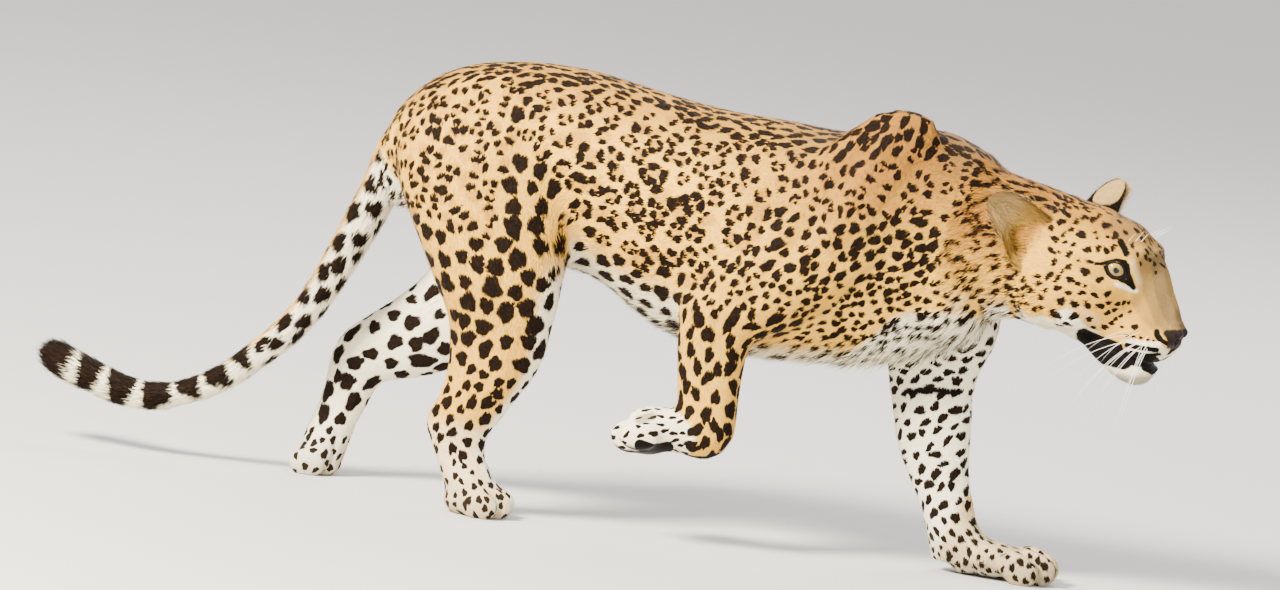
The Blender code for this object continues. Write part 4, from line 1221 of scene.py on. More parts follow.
def lay_masks(skin):
    """Where the coat is white, tan or dusty, and where the skin is bare or inked. The dusty mask also holds
    painted shade under the chin, and the inked mask holds painted shade under the lifted paw. A third mask
    holds painted shade in the ears' hollows and folds, and it also browns the nose leather.
    """
    x, y, z = skin.points.T
    s, w, h = skin.place.T
    nx, ny, nz = skin.normals.T
    part = skin.part
    trunk = part_is(part, "trunk")
    centres, _, deep, _, half_deep, _, _ = STATIONS["trunk"]
    index = nearest_row(skin.points, centres)
    height = 0.5 + 0.5 * dot(skin.points - centres[index], deep[index]) / half_deep[index]
    skin.height = height
    head = smooth(s, -30, 0)
    paint = face_paint(skin)
    front = smooth(x, 60, 160)
    low = 0.08 - 0.08 * front
    white = np.where(trunk, 1 - smooth(height, low, low + 0.24 - 0.10 * front), 0.0)
    near = y < 0
    inward = np.where(near, ny, -ny)
    limbs = ~trunk & ~part_is(part, "head", "neck", "tail")
    coat = coat_paint(skin)
    skin.chest = coat["chest"]
    white = np.maximum(white, coat["chest"])
    white = np.where(limbs, smooth(inward, -0.05, 0.45) * (1 - smooth(z, 430, 500)), white)
    hind = part_is(part, "hindleg_right", "thigh_left")
    white = np.maximum(white, hind * smooth(nx, 0.35, 0.8) * (1 - smooth(z, 300, 420)))
    white = np.maximum(white, hind * smooth(-z, -150, -110) * 0.5)
    fore = part_is(part, "foreleg_left")
    white = np.maximum(white, fore * smooth(nx - 0.5 * ny, 0.1, 0.6) * (1 - smooth(z, 300, 390)) * 0.9)
    white = np.maximum(white, part_is(part, "shank_left") * 0.35 * (1 - smooth(z, 170, 290)))
    white = np.maximum(white, part_is(part, "forepaw_right") * 0.75)
    tail = part_is(part, "tail")
    under = dot(skin.normals, skin.deep_way)
    pale = np.maximum(0.92 * smooth(under, -0.95, -0.45), smooth(skin.share, 0.5, 0.75))
    white = np.where(tail, pale, white)
    neck = part_is(part, "neck")
    white = np.where(neck, np.maximum(smooth(-nz, 0.42, 0.85), coat["chest"]), white)
    throat = smooth(-nz, 0.35, 0.8) * (h < -60)
    lip_front = smooth(s, 150, 172) * smooth(-h, 44, 50)
    white = np.where(head > 0.5, np.maximum(np.maximum(throat, lip_front), paint["white"]), white)
    white = np.maximum(white, 0.45 * smooth(-z, -450, -370) * neck)
    tan = np.where(trunk, 0.7 * smooth(height, 0.66, 0.98), 0.25)
    # the shoulder's side is tawny, partly as its coat and partly as painted shade
    shoulder = smooth(x, 40, 330) * smooth(z, 330, 440)
    tan = np.maximum(tan, 0.9 * shoulder * smooth(height, 0.2, 0.9))
    tan = np.where(neck, 0.3 + 0.6 * smooth(z, 420, 520), tan)
    crown = smooth(h, 40, 80) * smooth(-s, -140, -90)
    tan = np.where(head > 0.5, np.maximum(0.3 + 0.5 * crown, paint["tan"]), tan)
    feet = (1 - smooth(z, 60, 170)) * ~trunk
    white = np.maximum(white, 0.55 * feet)
    dust_and_shade = 0.45 * (1 - smooth(z, 8, 90)) * ~tail
    dust_and_shade = np.maximum(dust_and_shade, 0.45 * smooth(x, 150, 230) * smooth(height, 0.75, 1.0) * trunk)
    dust_and_shade = np.maximum(dust_and_shade, 0.8 * coat["grey_and_shade"])
    bridge = 0.7 * smooth(s, 118, 150) * smooth(h + 0.9 * (s - 150), 18, 40)
    # grey of the nose bridge and forehead, and painted shade under the chin
    dust_and_shade = np.maximum(dust_and_shade, (head > 0.5) * np.maximum(paint["grey_and_shade"], bridge))
    nose = (1 - smooth(nose_measure(skin.place), 0.93, 1.07)) * (s > 178)
    top_edge = -22.0 + 0.42 * (s - 192)
    wing = smooth(s, 189.5, 192.5) * smooth(h, -46, -43) * (1 - smooth(np.abs(w), 25.0, 27.5))
    nose = np.maximum(nose, wing) * (1 - smooth(h - top_edge, -1.5, 2.0))
    above, gap = mouth_measure(skin.place)
    lips = (1 - smooth(np.abs(above), gap + 1.5, gap + 4.0)) * smooth(s, 92, 104) * (s > 90)
    rims = near_eyes(skin.place, 1.05, 1.20, 2, 34)
    lifted = (x > 0) & (x < 120) & (y < -60) & (z > 120) & (z < 215) & ~trunk
    pads = lifted * smooth(-nz, 0.35, 0.75) * smooth(-x, -90, -60)
    ear_in = skin.is_ear * (skin.ear[:, 3] > 0.5)
    ear_out = skin.is_ear * (skin.ear[:, 3] < 0.5)
    along, across = skin.ear[:, 1], skin.ear[:, 2]
    patch = mound((along, 0.78, 0.44), (across, 0.15, 0.75))
    ink_and_shade = np.maximum(paint["ink_and_shade"] * (head > 0.5), ear_out * (1 - smooth(patch, 0.30, 0.50)))
    # the body's strokes, among them painted shade under the lifted paw
    ink_and_shade = np.maximum(ink_and_shade, coat["ink_and_shade"])
    # painted shade in the hollow low at the front of each ear's cup, and the fold's painted shade at its
    # inner edge
    recess_shade_and_leather = ear_in * mound((along, 0.22, 0.22), (across, 0.62, 0.40))
    recess_shade_and_leather = np.maximum(recess_shade_and_leather, paint["fold"])
    dust_and_shade = np.where(skin.is_ear, 0.5, dust_and_shade)
    white = np.where(skin.is_ear, 0.30 * ear_in * smooth(along, 0.2, 0.6) + 0.3 * ear_out, white)
    tan = np.where(skin.is_ear, 0.25 + 0.25 * ear_in * smooth(-across, 0.35, 0.8), tan)
    skin.ground = np.stack([white, tan, dust_and_shade], axis=1)
    # third mask: painted shade of the ears' hollows and folds, and at half strength on the nose leather,
    # where it browns the black skin
    skin.bare = np.stack([np.maximum(np.maximum(nose, lips), np.maximum(rims, pads)), ink_and_shade,
                          np.maximum(recess_shade_and_leather, nose * 0.5)], axis=1)


# Kinds of mark: half length, half width, spacing, how large the hole of a ring is, and how many
# gaps a ring has or how many blotches a rosette is broken into.
HALF, NARROW, SPACING, HOLE, GAPS = range(5)
KIND_SPINE = (12.5, 6.6, 24, 0.0, 0)
KIND_UPPER = (14.5, 11.5, 35, 0.0, 3)
KIND_FLANK = (17.0, 15.0, 42, 0.0, 4)
KIND_LOW = (12.5, 10.0, 38, 0.0, 0)
KIND_RUMP = (13.5, 10.5, 32, 0.0, 2)
KIND_SHOULDER_TOP = (13.0, 9.5, 33, 0.0, 2)
KIND_SHOULDER = (10.2, 7.4, 26, 0.0, 0)
KIND_SHOULDER_LOW = (7.0, 5.4, 19, 0.0, 0)
KIND_CHEST = (8.0, 4.8, 21, 0.0, 0)
KIND_NECK_RING = (13.5, 12.0, 34, 0.46, 1)
KIND_NAPE = (12.5, 5.2, 22, 0.0, 0)
KIND_NECK_LOW = (7.8, 5.4, 22, 0.0, 0)
KIND_THIGH = (14.5, 12.0, 41, 0.0, 0)
KIND_HOCK = (9.0, 6.8, 27, 0.0, 0)
KIND_PAW = (6.2, 4.4, 19, 0.0, 0)
KIND_FOREARM = (14.0, 7.6, 28, 0.0, 0)
KIND_BARS = (10.0, 5.6, 25, 0.0, 0)
KIND_INNER = (13.5, 10.0, 42, 0.0, 0)
KIND_CROWN = (7.0, 4.2, 12.0, 0.0, 0)
KIND_TEMPLE = (4.6, 2.8, 9.8, 0.0, 0)
KIND_LIFTED = (6.5, 3.2, 19, 0.0, 0)
KIND_FACE = (0.0, 0.0, 12.0, 0.0, 0)


def kinds_at(points, part, height, normals):
    """The kind of mark at each place, as rows of the numbers above."""
    x, y, z = points.T
    s = in_head(points)[:, 0]
    near = y < 0
    inward = np.where(near, normals[:, 1], -normals[:, 1]) > 0.25
    trunk = part_is(part, "trunk")
    neck = part_is(part, "neck")
    head = part_is(part, "head")
    shoulder = part_is(part, "shoulder_right", "shoulder_left") | (trunk & (x > 225))
    thigh = part_is(part, "hindleg_right", "thigh_left") & (z > 210)
    choices = [
        (head & (s > 20), KIND_TEMPLE), (head, KIND_CROWN),
        (z < 75, KIND_PAW), (part_is(part, "forepaw_right"), KIND_LIFTED),
        (part_is(part, "shank_left"), KIND_INNER),
        (part_is(part, "foreleg_left"), KIND_BARS),
        (part_is(part, "forearm_right") | (part_is(part, "shoulder_right") & (z < 345)), KIND_FOREARM),
        (neck & (z > 535), KIND_NAPE), (neck & (z > 448), KIND_NECK_RING), (neck, KIND_NECK_LOW),
        (shoulder & (height > 0.90), KIND_SPINE), (shoulder & (height > 0.66), KIND_SHOULDER_TOP),
        (shoulder & (height > 0.40), KIND_SHOULDER), (shoulder & (height > 0.14), KIND_SHOULDER_LOW),
        (shoulder, KIND_CHEST),
        (thigh & (x < -185) & (z > 400), KIND_RUMP), (thigh & inward, KIND_INNER), (thigh, KIND_THIGH),
        (part_is(part, "hindleg_right"), KIND_HOCK),
        (trunk & (height > 0.90), KIND_SPINE), (trunk & (x < -190), KIND_RUMP),
        (trunk & (height > 0.70), KIND_UPPER), (trunk & (height > 0.30), KIND_FLANK),
    ]
    rows = np.tile(np.array(KIND_LOW, dtype=float), (len(points), 1))
    for hit, kind in reversed(choices):
        rows[hit] = kind
    return rows


# Spots of the near side of the face, and so of the far side too: place in the photo's frame, half
# length and half width in millimetres, and the turn of the length in degrees.
FACE_SPOTS = [
    (1085, 218, 6, 5, 0), (1094, 220, 6.5, 5, 60), (1107, 226, 7, 6, 0), (1082, 235, 8, 6, -20),
    (1116, 236, 6.5, 5, 80), (1088, 250, 6, 5, 20), (1099, 249, 6, 3.6, 70), (1107, 251, 6, 4, -60),
    (1114, 248, 6, 4, 60), (1074, 245, 4.5, 4, 30), (1070, 255, 5.5, 4.5, 30), (1069, 267, 6, 4, 20),
    (1086, 272, 7.5, 5.5, -30), (1090, 262, 5.5, 3, 0), (1079, 261, 3.2, 2.6, 0),
    (1071, 280, 6.5, 4.5, -10), (1079, 284, 5, 3, -10), (1058, 288, 6.5, 3.8, 10),
    (1069, 293, 5.5, 3.2, 10), (1083, 293, 6, 3.2, 10), (1095, 295, 6, 3.6, -35),
    (1086, 286, 3.6, 2.6, 0), (1100, 280, 6, 4, 30), (1108, 294, 5.4, 4, 30), (1062, 301, 7, 5.5, 20),
    (1075, 304, 6.5, 5, -40), (1088, 305, 6.5, 4, -70), (1101, 306, 6, 4, -20), (1109, 303, 4.4, 3, 0),
    (1118, 304, 4.5, 3.2, 10), (1124, 303, 4, 2.6, 60), (1129, 303, 3, 2.2, 50),
    (1115, 310, 4.5, 2.8, 10), (1108, 313, 5, 3.2, 30), (1121, 316, 3.8, 2.6, 30),
    (1116, 319, 3.8, 2.6, 40), (1112, 323, 4.2, 3.2, 30), (1105, 327, 5, 4.4, 0),
    (1090, 319, 5, 4.4, 0), (1094, 327, 4, 3.4, 0), (1056, 314, 9.5, 5.5, -30), (1060, 325, 7, 3, -10),
    (1075, 316, 7.5, 5, 30), (1068, 324, 6, 3, -20), (1127, 336, 3, 2.2, -10),
    (1134, 337, 3.2, 2.2, -10), (1141, 338, 3.2, 2.2, -10), (1148, 340, 3, 2, -10),
    (1154, 341, 2.6, 1.8, -10), (1122, 327, 3, 2, 0), (1135, 327, 5, 4, 0), (1130, 312, 3.2, 2, 20),
    (1050, 276, 9, 4, 40), (1058, 279, 8, 3.2, 40), (1055, 262, 6, 3.6, 55), (1063, 271, 4, 2.6, 50),
    (1064, 235, 5, 3, 50), (1072, 230, 5, 3, 20), (1077, 222, 6, 4, 60), (1062, 222, 7, 4.5, 20),
    (1100, 216, 5.5, 4, 80), (1110, 214, 5, 3, -60), (1120, 222, 5, 3, -70), (1126, 233, 5, 3, -70),
    (1133, 246, 5, 2.6, -80), (1138, 255, 4.5, 2.4, -75), (1141, 264, 4, 1.8, -75),
    (1108, 237, 3, 2.2, 0), (1098, 238, 3.4, 2.4, 60), (1096, 233, 3, 2, 60), (1042, 297, 5, 4, -40),
    (1036, 309, 7, 4, 30), (1046, 291, 5, 3, 60), (1040, 283, 5, 4, 0), (1130, 221, 5, 3, -55),
    (1137, 231, 5.5, 3.4, -60), (1143, 240, 6, 3.8, -60), (1150, 249, 5, 3, -60),
    (1147, 228, 5, 3.4, -55), (1154, 238, 6, 3.6, -60), (1139, 218, 5, 3, -40),
    (1124, 211, 5.5, 3.2, -40), (1132, 206, 5, 3, -30), (1114, 205, 6, 3.2, -20),
]
# Behind this place of the head the marks are random ones; the size that the spots of the face are
# drawn at, and how far round them no random mark begins.
FACE_FREE = 34.0
SPOT_SIZE = 1.14
SPOT_FREE = 6.0


def face_marks(skin):
    """The spots of the face laid on the skin along the photo's lines of sight, both sides alike."""
    centres, ways, sizes = [], [], []
    right, up, back = view_axes()
    target = np.array(VIEW_TARGET)
    start = target + back * VIEW_AWAY / MM
    for px, py, half, narrow, turn in FACE_SPOTS:
        across, down = px - PHOTO[0] / 2, py - PHOTO[1] / 2
        aim = unit(target + (right * across - up * down) * PIXEL - start)
        hit = skin.tree.ray_cast(Vector(start), Vector(aim))[0]
        if hit is None:
            continue
        angle = math.radians(turn)
        way = right * math.cos(angle) + up * math.sin(angle)
        place, long_way = in_head(np.array(hit)), HEAD[0].T @ way
        if place[1] > 0:
            continue
        for mirror in (1.0, -1.0):
            flip = np.array([1.0, mirror, 1.0])
            centres.append(from_head(place * flip))
            ways.append(HEAD[0] @ (long_way * flip))
            sizes.append((half * SPOT_SIZE, narrow * SPOT_SIZE))
    return np.array(centres), np.array(ways), np.array(sizes)


# Behind each ear the nape is free of marks, and so is the ear's plain front: places in the head's
# frame and the photo's frame, and how far they reach.
EAR_BASE = (-22, 66, 4)
EAR_BASE_FREE = 33.0
EAR_PLAIN = (1035, 240)
EAR_PLAIN_REACH = 15.0
# How the marks are spread: millimetres that a turn of the skin counts for, the share of a kind's
# spacing that its marks keep free, the window of the search, the places tried, and the rounds that
# even them out.
MARK_TURN = 30.0
MARK_PACKING = 0.61
MARK_WINDOW = 90.0
MARK_BLOCK = 2500
MARK_CANDIDATES = 36000
MARK_ROUNDS = 3


def scatter(skin, count, weight):
    """Random places on the skin, more where the weight is higher: faces and shares of the corners."""
    a, b, c = (skin.points[skin.tris[:, k]] for k in range(3))
    area = np.linalg.norm(np.cross(b - a, c - a), axis=1) / 2 * weight
    ladder = np.cumsum(area)
    face = np.searchsorted(ladder, rng.random(count) * ladder[-1])
    u, v = rng.random((2, count))
    fold = u + v > 1
    u = np.where(fold, 1 - u, u)
    v = np.where(fold, 1 - v, v)
    return face, np.stack([1 - u - v, u, v], axis=1)


def averaged(picked, share):
    """Values at the three corners of faces, mixed at places within them."""
    return np.sum(picked * share[:, :, None], axis=1)


def mixed(values, skin, face, share):
    """Values of the skin's points, mixed at places within faces."""
    return averaged(values[skin.tris[face]], share)


def nearest_mark(marks, points, normals):
    """The mark whose middle is nearest to each place, counted in the mark's own size."""
    there = np.hstack([marks.centre, MARK_TURN * marks.normal])
    weight = 1 / marks.reach ** 2
    columns = np.vstack([weight, (-2 * there * weight[:, None]).T, np.sum(there ** 2, axis=1) * weight])
    found = np.empty(len(points), dtype=np.int64)
    order = np.argsort(points[:, 0])
    for start in range(0, len(points), MARK_BLOCK):
        block = order[start:start + MARK_BLOCK]
        low, high = points[block[[0, -1]], 0]
        window = np.nonzero((there[:, 0] > low - MARK_WINDOW) & (there[:, 0] < high + MARK_WINDOW))[0]
        window = window if len(window) else np.arange(len(there))
        here = np.hstack([points[block], MARK_TURN * normals[block]])
        rows = np.hstack([np.sum(here ** 2, axis=1, keepdims=True), here, np.ones((len(here), 1))])
        found[block] = window[np.argmin(rows @ columns[:, window], axis=1)]
    return found


def finder_of(points):
    """A search among points for the ones near a place."""
    finder = kdtree.KDTree(len(points))
    for i, point in enumerate(points):
        finder.insert(point, i)
    finder.balance()
    return finder


def place_marks(skin):
    """Every mark of the coat, spread evenly at the spacing of its region, after the face's own."""
    centres, ways, sizes = face_marks(skin)
    face, share = scatter(skin, MARK_CANDIDATES, np.ones(len(skin.tris)))
    points = mixed(skin.points, skin, face, share)
    normals = unit(mixed(skin.normals, skin, face, share))
    flow = unit(mixed(skin.flow, skin, face, share))
    corner = skin.tris[face, 0]
    part = skin.part[corner]
    place = in_head(points)
    kinds = kinds_at(points, part, skin.height[corner], normals)
    banned = part_is(part, "tail") | skin.is_ear[corner]
    on_head = part_is(part, "head")
    front = on_head & (place[:, 0] > FACE_FREE)
    banned |= front & ((place[:, 2] < 44) | (place[:, 0] > 150) | (np.abs(place[:, 1]) > 34))
    banned |= on_head & (place[:, 0] > 0) & (place[:, 2] < -70)
    mirrored = place * [1, 0, 1] + np.abs(place) * [0, 1, 0]
    banned |= on_head & (np.linalg.norm(mirrored - np.array(EAR_BASE), axis=1) < EAR_BASE_FREE)
    px, py = on_photo(from_head(mirrored * [1, -1, 1]))
    banned |= (place[:, 0] > -90) & (np.hypot(px - EAR_PLAIN[0], py - EAR_PLAIN[1]) < EAR_PLAIN_REACH)
    fixed = len(centres)
    finder = finder_of(points)
    free = ~banned
    for centre, size in zip(centres, sizes):
        for _, i, _ in finder.find_range(centre, size[0] + SPOT_FREE):
            free[i] = False
    chosen = []
    for i in range(len(points)):
        if free[i]:
            chosen.append(i)
            for _, k, _ in finder.find_range(points[i], kinds[i, SPACING] * MARK_PACKING):
                if normals[k] @ normals[i] > 0:
                    free[k] = False
    marks = SimpleNamespace()
    marks.kind = np.vstack([np.tile(KIND_FACE, (fixed, 1)), kinds[chosen]])
    marks.kind[:fixed, :2] = sizes
    face_normals = [normals[finder.find(centre)[1]] for centre in centres]
    marks.centre = np.vstack([centres, points[chosen]])
    marks.normal = np.vstack([face_normals, normals[chosen]])
    marks.way = np.vstack([ways, flow[chosen]])
    usable = np.nonzero(~banned)[0]
    for _ in range(MARK_ROUNDS):
        marks.reach = marks.kind[:, SPACING] * 0.5
        owner = nearest_mark(marks, points[usable], normals[usable])
        count = np.bincount(owner, minlength=len(marks.centre))
        mean = np.stack([np.bincount(owner, points[usable, axis], len(count)) for axis in range(3)], axis=1)
        mean = mean / np.maximum(count, 1)[:, None]
        for i in range(fixed, len(count)):
            if count[i] > 2:
                k = usable_near(finder, mean[i], normals, marks.normal[i])
                marks.centre[i] = points[k]
                marks.normal[i] = normals[k]
                marks.way[i] = flow[k]
                marks.kind[i] = kinds[k]
    return finished_marks(marks, fixed)


MARK_FIELDS = ("centre", "normal", "way", "side", "kind")
BAR_SLANT = 0.96
BLOTCH_OUT = 0.66
BLOTCH_MISSING = 0.07
BLOTCH_MORE = 0.35
BLOTCH_APART = 0.66


def finished_marks(marks, fixed):
    """The marks with their sizes and turns varied, and each rosette broken into its blotches."""
    jitter = rng.normal(0.0, 1.0, (len(marks.centre), 4))
    loose = np.ones(len(marks.centre))
    loose[:fixed] = 0.0
    swell = np.exp(0.13 * jitter[:, 0] * loose)
    marks.kind[:, HALF] *= swell * np.exp(0.12 * jitter[:, 1] * loose)
    marks.kind[:, NARROW] *= swell * np.exp(-0.08 * jitter[:, 1] * loose)
    marks.reach = 0.5 * (marks.kind[:, HALF] + marks.kind[:, NARROW]) + 4.0
    turn = 0.35 * jitter[:, 2] * loose
    bars = (np.abs(marks.kind[:, SPACING] - KIND_BARS[SPACING]) < 0.01) & (marks.centre[:, 2] < 400)
    turn = turn + np.where(bars & (marks.centre[:, 0] > 330), BAR_SLANT * np.sign(marks.normal[:, 1]), 0.0)
    side = unit(np.cross(marks.normal, marks.way))
    marks.way = laid_flat(marks.way, marks.normal) * np.cos(turn)[:, None] + side * np.sin(turn)[:, None]
    marks.side = np.cross(marks.normal, marks.way)
    ring = marks.kind[:, GAPS] > 1
    rosettes = SimpleNamespace(**{name: getattr(marks, name)[ring] for name in (*MARK_FIELDS, "reach")})
    broken = blotches_of(rosettes)
    for name in MARK_FIELDS:
        setattr(marks, name, np.vstack([getattr(marks, name)[~ring], broken[name]]))
    marks.reach = 0.5 * (marks.kind[:, HALF] + marks.kind[:, NARROW]) + 2.0
    marks.seed = rng.random(len(marks.centre))
    return marks, rosettes


def blotches_of(rosettes):
    """The blotches of every rosette: two to five round its edge, each long along the ring."""
    rows = []
    for i, (centre, normal) in enumerate(zip(rosettes.centre, rosettes.normal)):
        half, narrow, spacing, _, number = rosettes.kind[i]
        number = int(number) + int(rng.random() < BLOTCH_MORE)
        start = rng.random() * 2 * math.pi
        for k in range(number):
            if number > 2 and rng.random() < BLOTCH_MISSING:
                continue
            angle = start + 2 * math.pi * (k + 0.16 * rng.normal()) / number
            c, s = math.cos(angle), math.sin(angle)
            out = BLOTCH_OUT * (1 + 0.08 * rng.normal())
            way = unit(-s * rosettes.way[i] + c * rosettes.side[i])
            size = math.exp(0.14 * rng.normal())
            share = {2: 0.60, 3: 0.53}.get(number, 0.47)
            place = centre + rosettes.way[i] * c * half * out + rosettes.side[i] * s * narrow * out
            kind = (share * half * size, 0.84 * share * narrow * size, spacing, 0.0, 0.0)
            rows.append((place, normal, way, np.cross(normal, way), kind))
    broken = {name: np.array(values) for name, values in zip(MARK_FIELDS, zip(*rows))}
    apart = blotches_apart(broken["centre"], broken["kind"])
    return {name: values[apart] for name, values in broken.items()}


def blotches_apart(centres, kinds):
    """The blotches to keep, so that none runs into one before it."""
    finder = finder_of(centres)
    radius = np.sqrt(kinds[:, HALF] * kinds[:, NARROW])
    kept = np.ones(len(centres), dtype=bool)
    for i, centre in enumerate(centres):
        reach = radius[i] + radius.max()
        kept[i] = not any(k < i and kept[k] and gap < BLOTCH_APART * (radius[i] + radius[k])
                          for _, k, gap in finder.find_range(centre, reach))
    return kept


def usable_near(finder, place, normals, normal):
    """The candidate nearest to a place whose side of the skin is the mark's own."""
    for _, k, _ in finder.find_n(place, 6):
        if normals[k] @ normal > 0.3:
            return k
    return finder.find(place)[1]


# Marks of the tail: the row's share of the length, the turn from its upper line in degrees, half
# length in millimetres and half of the arc in degrees.  The rows repeat along the tail with small
# changes, and towards the tip they close into rings.
TAIL_ROWS = [(0.030, 8, 18, 32), (0.058, 60, 17, 30), (0.058, -60, 17, 30), (0.034, 110, 16, 28),
             (0.034, -110, 16, 28), (0.064, 156, 14, 22), (0.064, -156, 14, 22)]
TAIL_RINGS = [(0.590, 12, 21, 130), (0.648, -8, 23, 140), (0.707, 8, 22, 155), (0.770, -6, 26, 170),
              (0.838, 5, 26, 195), (0.901, 0, 21, 220), (0.985, 0, 42, 400)]
TAIL_STEP = 0.061
TAIL_ROWS_END = 0.555
TAIL_MARKS = [(start + TAIL_STEP * i, turn + 9 * ((i * 5 + k) % 3 - 1), half + (i * 3 + k) % 4 - 2,
               arc + 2 * ((i + k) % 3))
              for i in range(9) for k, (start, turn, half, arc) in enumerate(TAIL_ROWS)
              if start + TAIL_STEP * i < TAIL_ROWS_END] + TAIL_RINGS


def tail_coordinates(skin, index):
    """For each point of the tail, its nearest mark and the place in that mark."""
    rows = np.array(TAIL_MARKS, dtype=float)
    run = skin.local[index, 0]
    turn = np.degrees(np.arctan2(skin.local[index, 2], -skin.local[index, 1]))
    u = (run[:, None] - rows[:, 0] * STATIONS["tail"][-1][-1]) / rows[:, 2]
    t = ((turn[:, None] - rows[:, 1] + 180) % 360 - 180) / rows[:, 3]
    return np.argmin(u ** 2 + t ** 2, axis=1), u, t


MARK_FAR = 4.0
MARK_DEEP = 26.0


def in_marks(marks, owner, corners):
    """The way from its face's mark to each corner, and its place along and across in that mark."""
    away = corners - marks.centre[owner][:, None, :]
    u = dot(away, marks.way[owner][:, None, :]) / marks.kind[owner, HALF][:, None]
    t = dot(away, marks.side[owner][:, None, :]) / marks.kind[owner, NARROW][:, None]
    return away, u, t


def paint_marks(skin, marks, rosettes):
    """For each corner of each face, its place in the face's nearest mark, and the mark's kind.

    With the kind goes how far out the corner is in the nearest rosette, whose middle is warmer
    than the coat.
    """
    corners = skin.points[skin.tris]
    middle = corners.mean(axis=1)
    normal = unit(skin.normals[skin.tris].mean(axis=1))
    owner = nearest_mark(marks, middle, normal)
    away, u, t = in_marks(marks, owner, corners)
    far = np.abs(dot(away, marks.normal[owner][:, None, :])) > MARK_DEEP
    u = np.where(far | (np.abs(u) > MARK_FAR), MARK_FAR, u)
    seed = np.repeat(marks.seed[owner][:, None], 3, axis=1)
    hole, gaps = (np.repeat(marks.kind[owner, k][:, None], 3, axis=1) for k in (HOLE, GAPS))
    on_tail = np.all(part_is(skin.part[skin.tris], "tail"), axis=1)
    best, tail_u, tail_t = tail_coordinates(skin, skin.tris[on_tail].ravel())
    first = best.reshape(-1, 3)[:, 0]
    rows = np.arange(len(first) * 3)
    pick = np.repeat(first, 3)
    u[on_tail] = tail_u[rows, pick].reshape(-1, 3)
    t[on_tail] = tail_t[rows, pick].reshape(-1, 3)
    seed[on_tail] = ((first * 0.37) % 1.0)[:, None]
    hole[on_tail] = 0.0
    gaps[on_tail] = 0.0
    u[skin.is_ear[skin.tris[:, 0]]] = MARK_FAR
    _, core_u, core_t = in_marks(rosettes, nearest_mark(rosettes, middle, normal), corners)
    core = np.clip(np.hypot(core_u, core_t), 0, MARK_FAR)
    skin.mark = np.stack([u, t, seed], axis=2)
    skin.kind = np.stack([hole, gaps, core], axis=2)
def tint(red, green, blue):
    """A colour given as it is on a screen, from 0 to 255, in the scene's own linear values."""
    values = np.array([red, green, blue]) / 255.0
    linear = np.where(values <= 0.04045, values / 12.92, ((values + 0.055) / 1.055) ** 2.4)
    return (*linear.tolist(), 1.0)


class Wire:
    """A number in a material's tree of nodes, so that formulas are written as plain arithmetic."""

    def __init__(self, tree, socket):
        self.tree = tree
        self.socket = socket

    def math(self, operation, *others):
        """One Math node with this number first and other numbers after it."""
        values = dict(enumerate((self, *others)))
        return Wire(self.tree, node(self.tree, "ShaderNodeMath", {"operation": operation}, values).outputs[0])

    def __add__(self, other):
        return self.math("ADD", other)

    def __sub__(self, other):
        return self.math("SUBTRACT", other)

    def __rsub__(self, other):
        return self.math("MULTIPLY", -1.0).math("ADD", other)

    def __mul__(self, other):
        return self.math("MULTIPLY", other)

    def __truediv__(self, other):
        return self.math("DIVIDE", other)

    __radd__ = __add__
    __rmul__ = __mul__

    def step(self, low, high):
        """An even S from nought at the low value to one at the high one."""
        made = node(self.tree, "ShaderNodeMapRange", {"interpolation_type": "SMOOTHSTEP"},
                    {"Value": self, "From Min": low, "From Max": high})
        return Wire(self.tree, made.outputs["Result"])


def feed(tree, slots, values):
    """Give inputs their values: numbers, colours, wires or sockets."""
    for name, value in values.items():
        if isinstance(value, Wire):
            value = value.socket
        if isinstance(value, bpy.types.NodeSocket):
            tree.links.new(value, slots[name])
        else:
            slots[name].default_value = value


def node(tree, kind, settings, values):
    """One node with its settings and the values of its inputs."""
    made = tree.nodes.new(kind)
    for name, value in settings.items():
        setattr(made, name, value)
    feed(tree, made.inputs, values)
    return made


def parts_of(tree, name):
    """The three numbers of a named vector attribute."""
    source = node(tree, "ShaderNodeAttribute", {"attribute_name": name}, {})
    split = node(tree, "ShaderNodeSeparateXYZ", {}, {"Vector": source.outputs["Vector"]})
    return [Wire(tree, socket) for socket in split.outputs]


def joined(tree, x, y, z):
    """Three numbers as one vector socket."""
    return node(tree, "ShaderNodeCombineXYZ", {}, {"X": x, "Y": y, "Z": z}).outputs[0]


def noise(tree, vector, scale, detail=2.0, rough=0.5):
    """A noise between nought and one over a vector."""
    values = {"Vector": vector, "Scale": scale, "Detail": detail, "Roughness": rough}
    return Wire(tree, node(tree, "ShaderNodeTexNoise", {}, values).outputs["Fac"])


def blend(tree, share, first, second):
    """Two colours mixed."""
    return node(tree, "ShaderNodeMix", {"data_type": "RGBA"}, {0: share, 6: first, 7: second}).outputs[2]


def new_material(name):
    """An empty node material with its one shader."""
    made = bpy.data.materials.new(name)
    made.use_nodes = True
    return made, made.node_tree, made.node_tree.nodes["Principled BSDF"]


CREAM = tint(246, 190, 70)
# TAWNY is the warmer coat of the back, shoulders and neck, made darker than that coat as painted shade of the
# shoulders and neck.
TAWNY = tint(138, 88, 32)
WHITE = tint(246, 236, 204)
# DUSTY is a grey-brown of the coat, and it also paints the shade under the chin.
DUSTY = tint(88, 75, 58)
RUSSET = tint(168, 108, 44)
MARK_DARK = tint(12, 7, 3)
MARK_BROWN = tint(62, 34, 12)
SKIN_BLACK = tint(24, 19, 18)
LEATHER = tint(40, 28, 22)


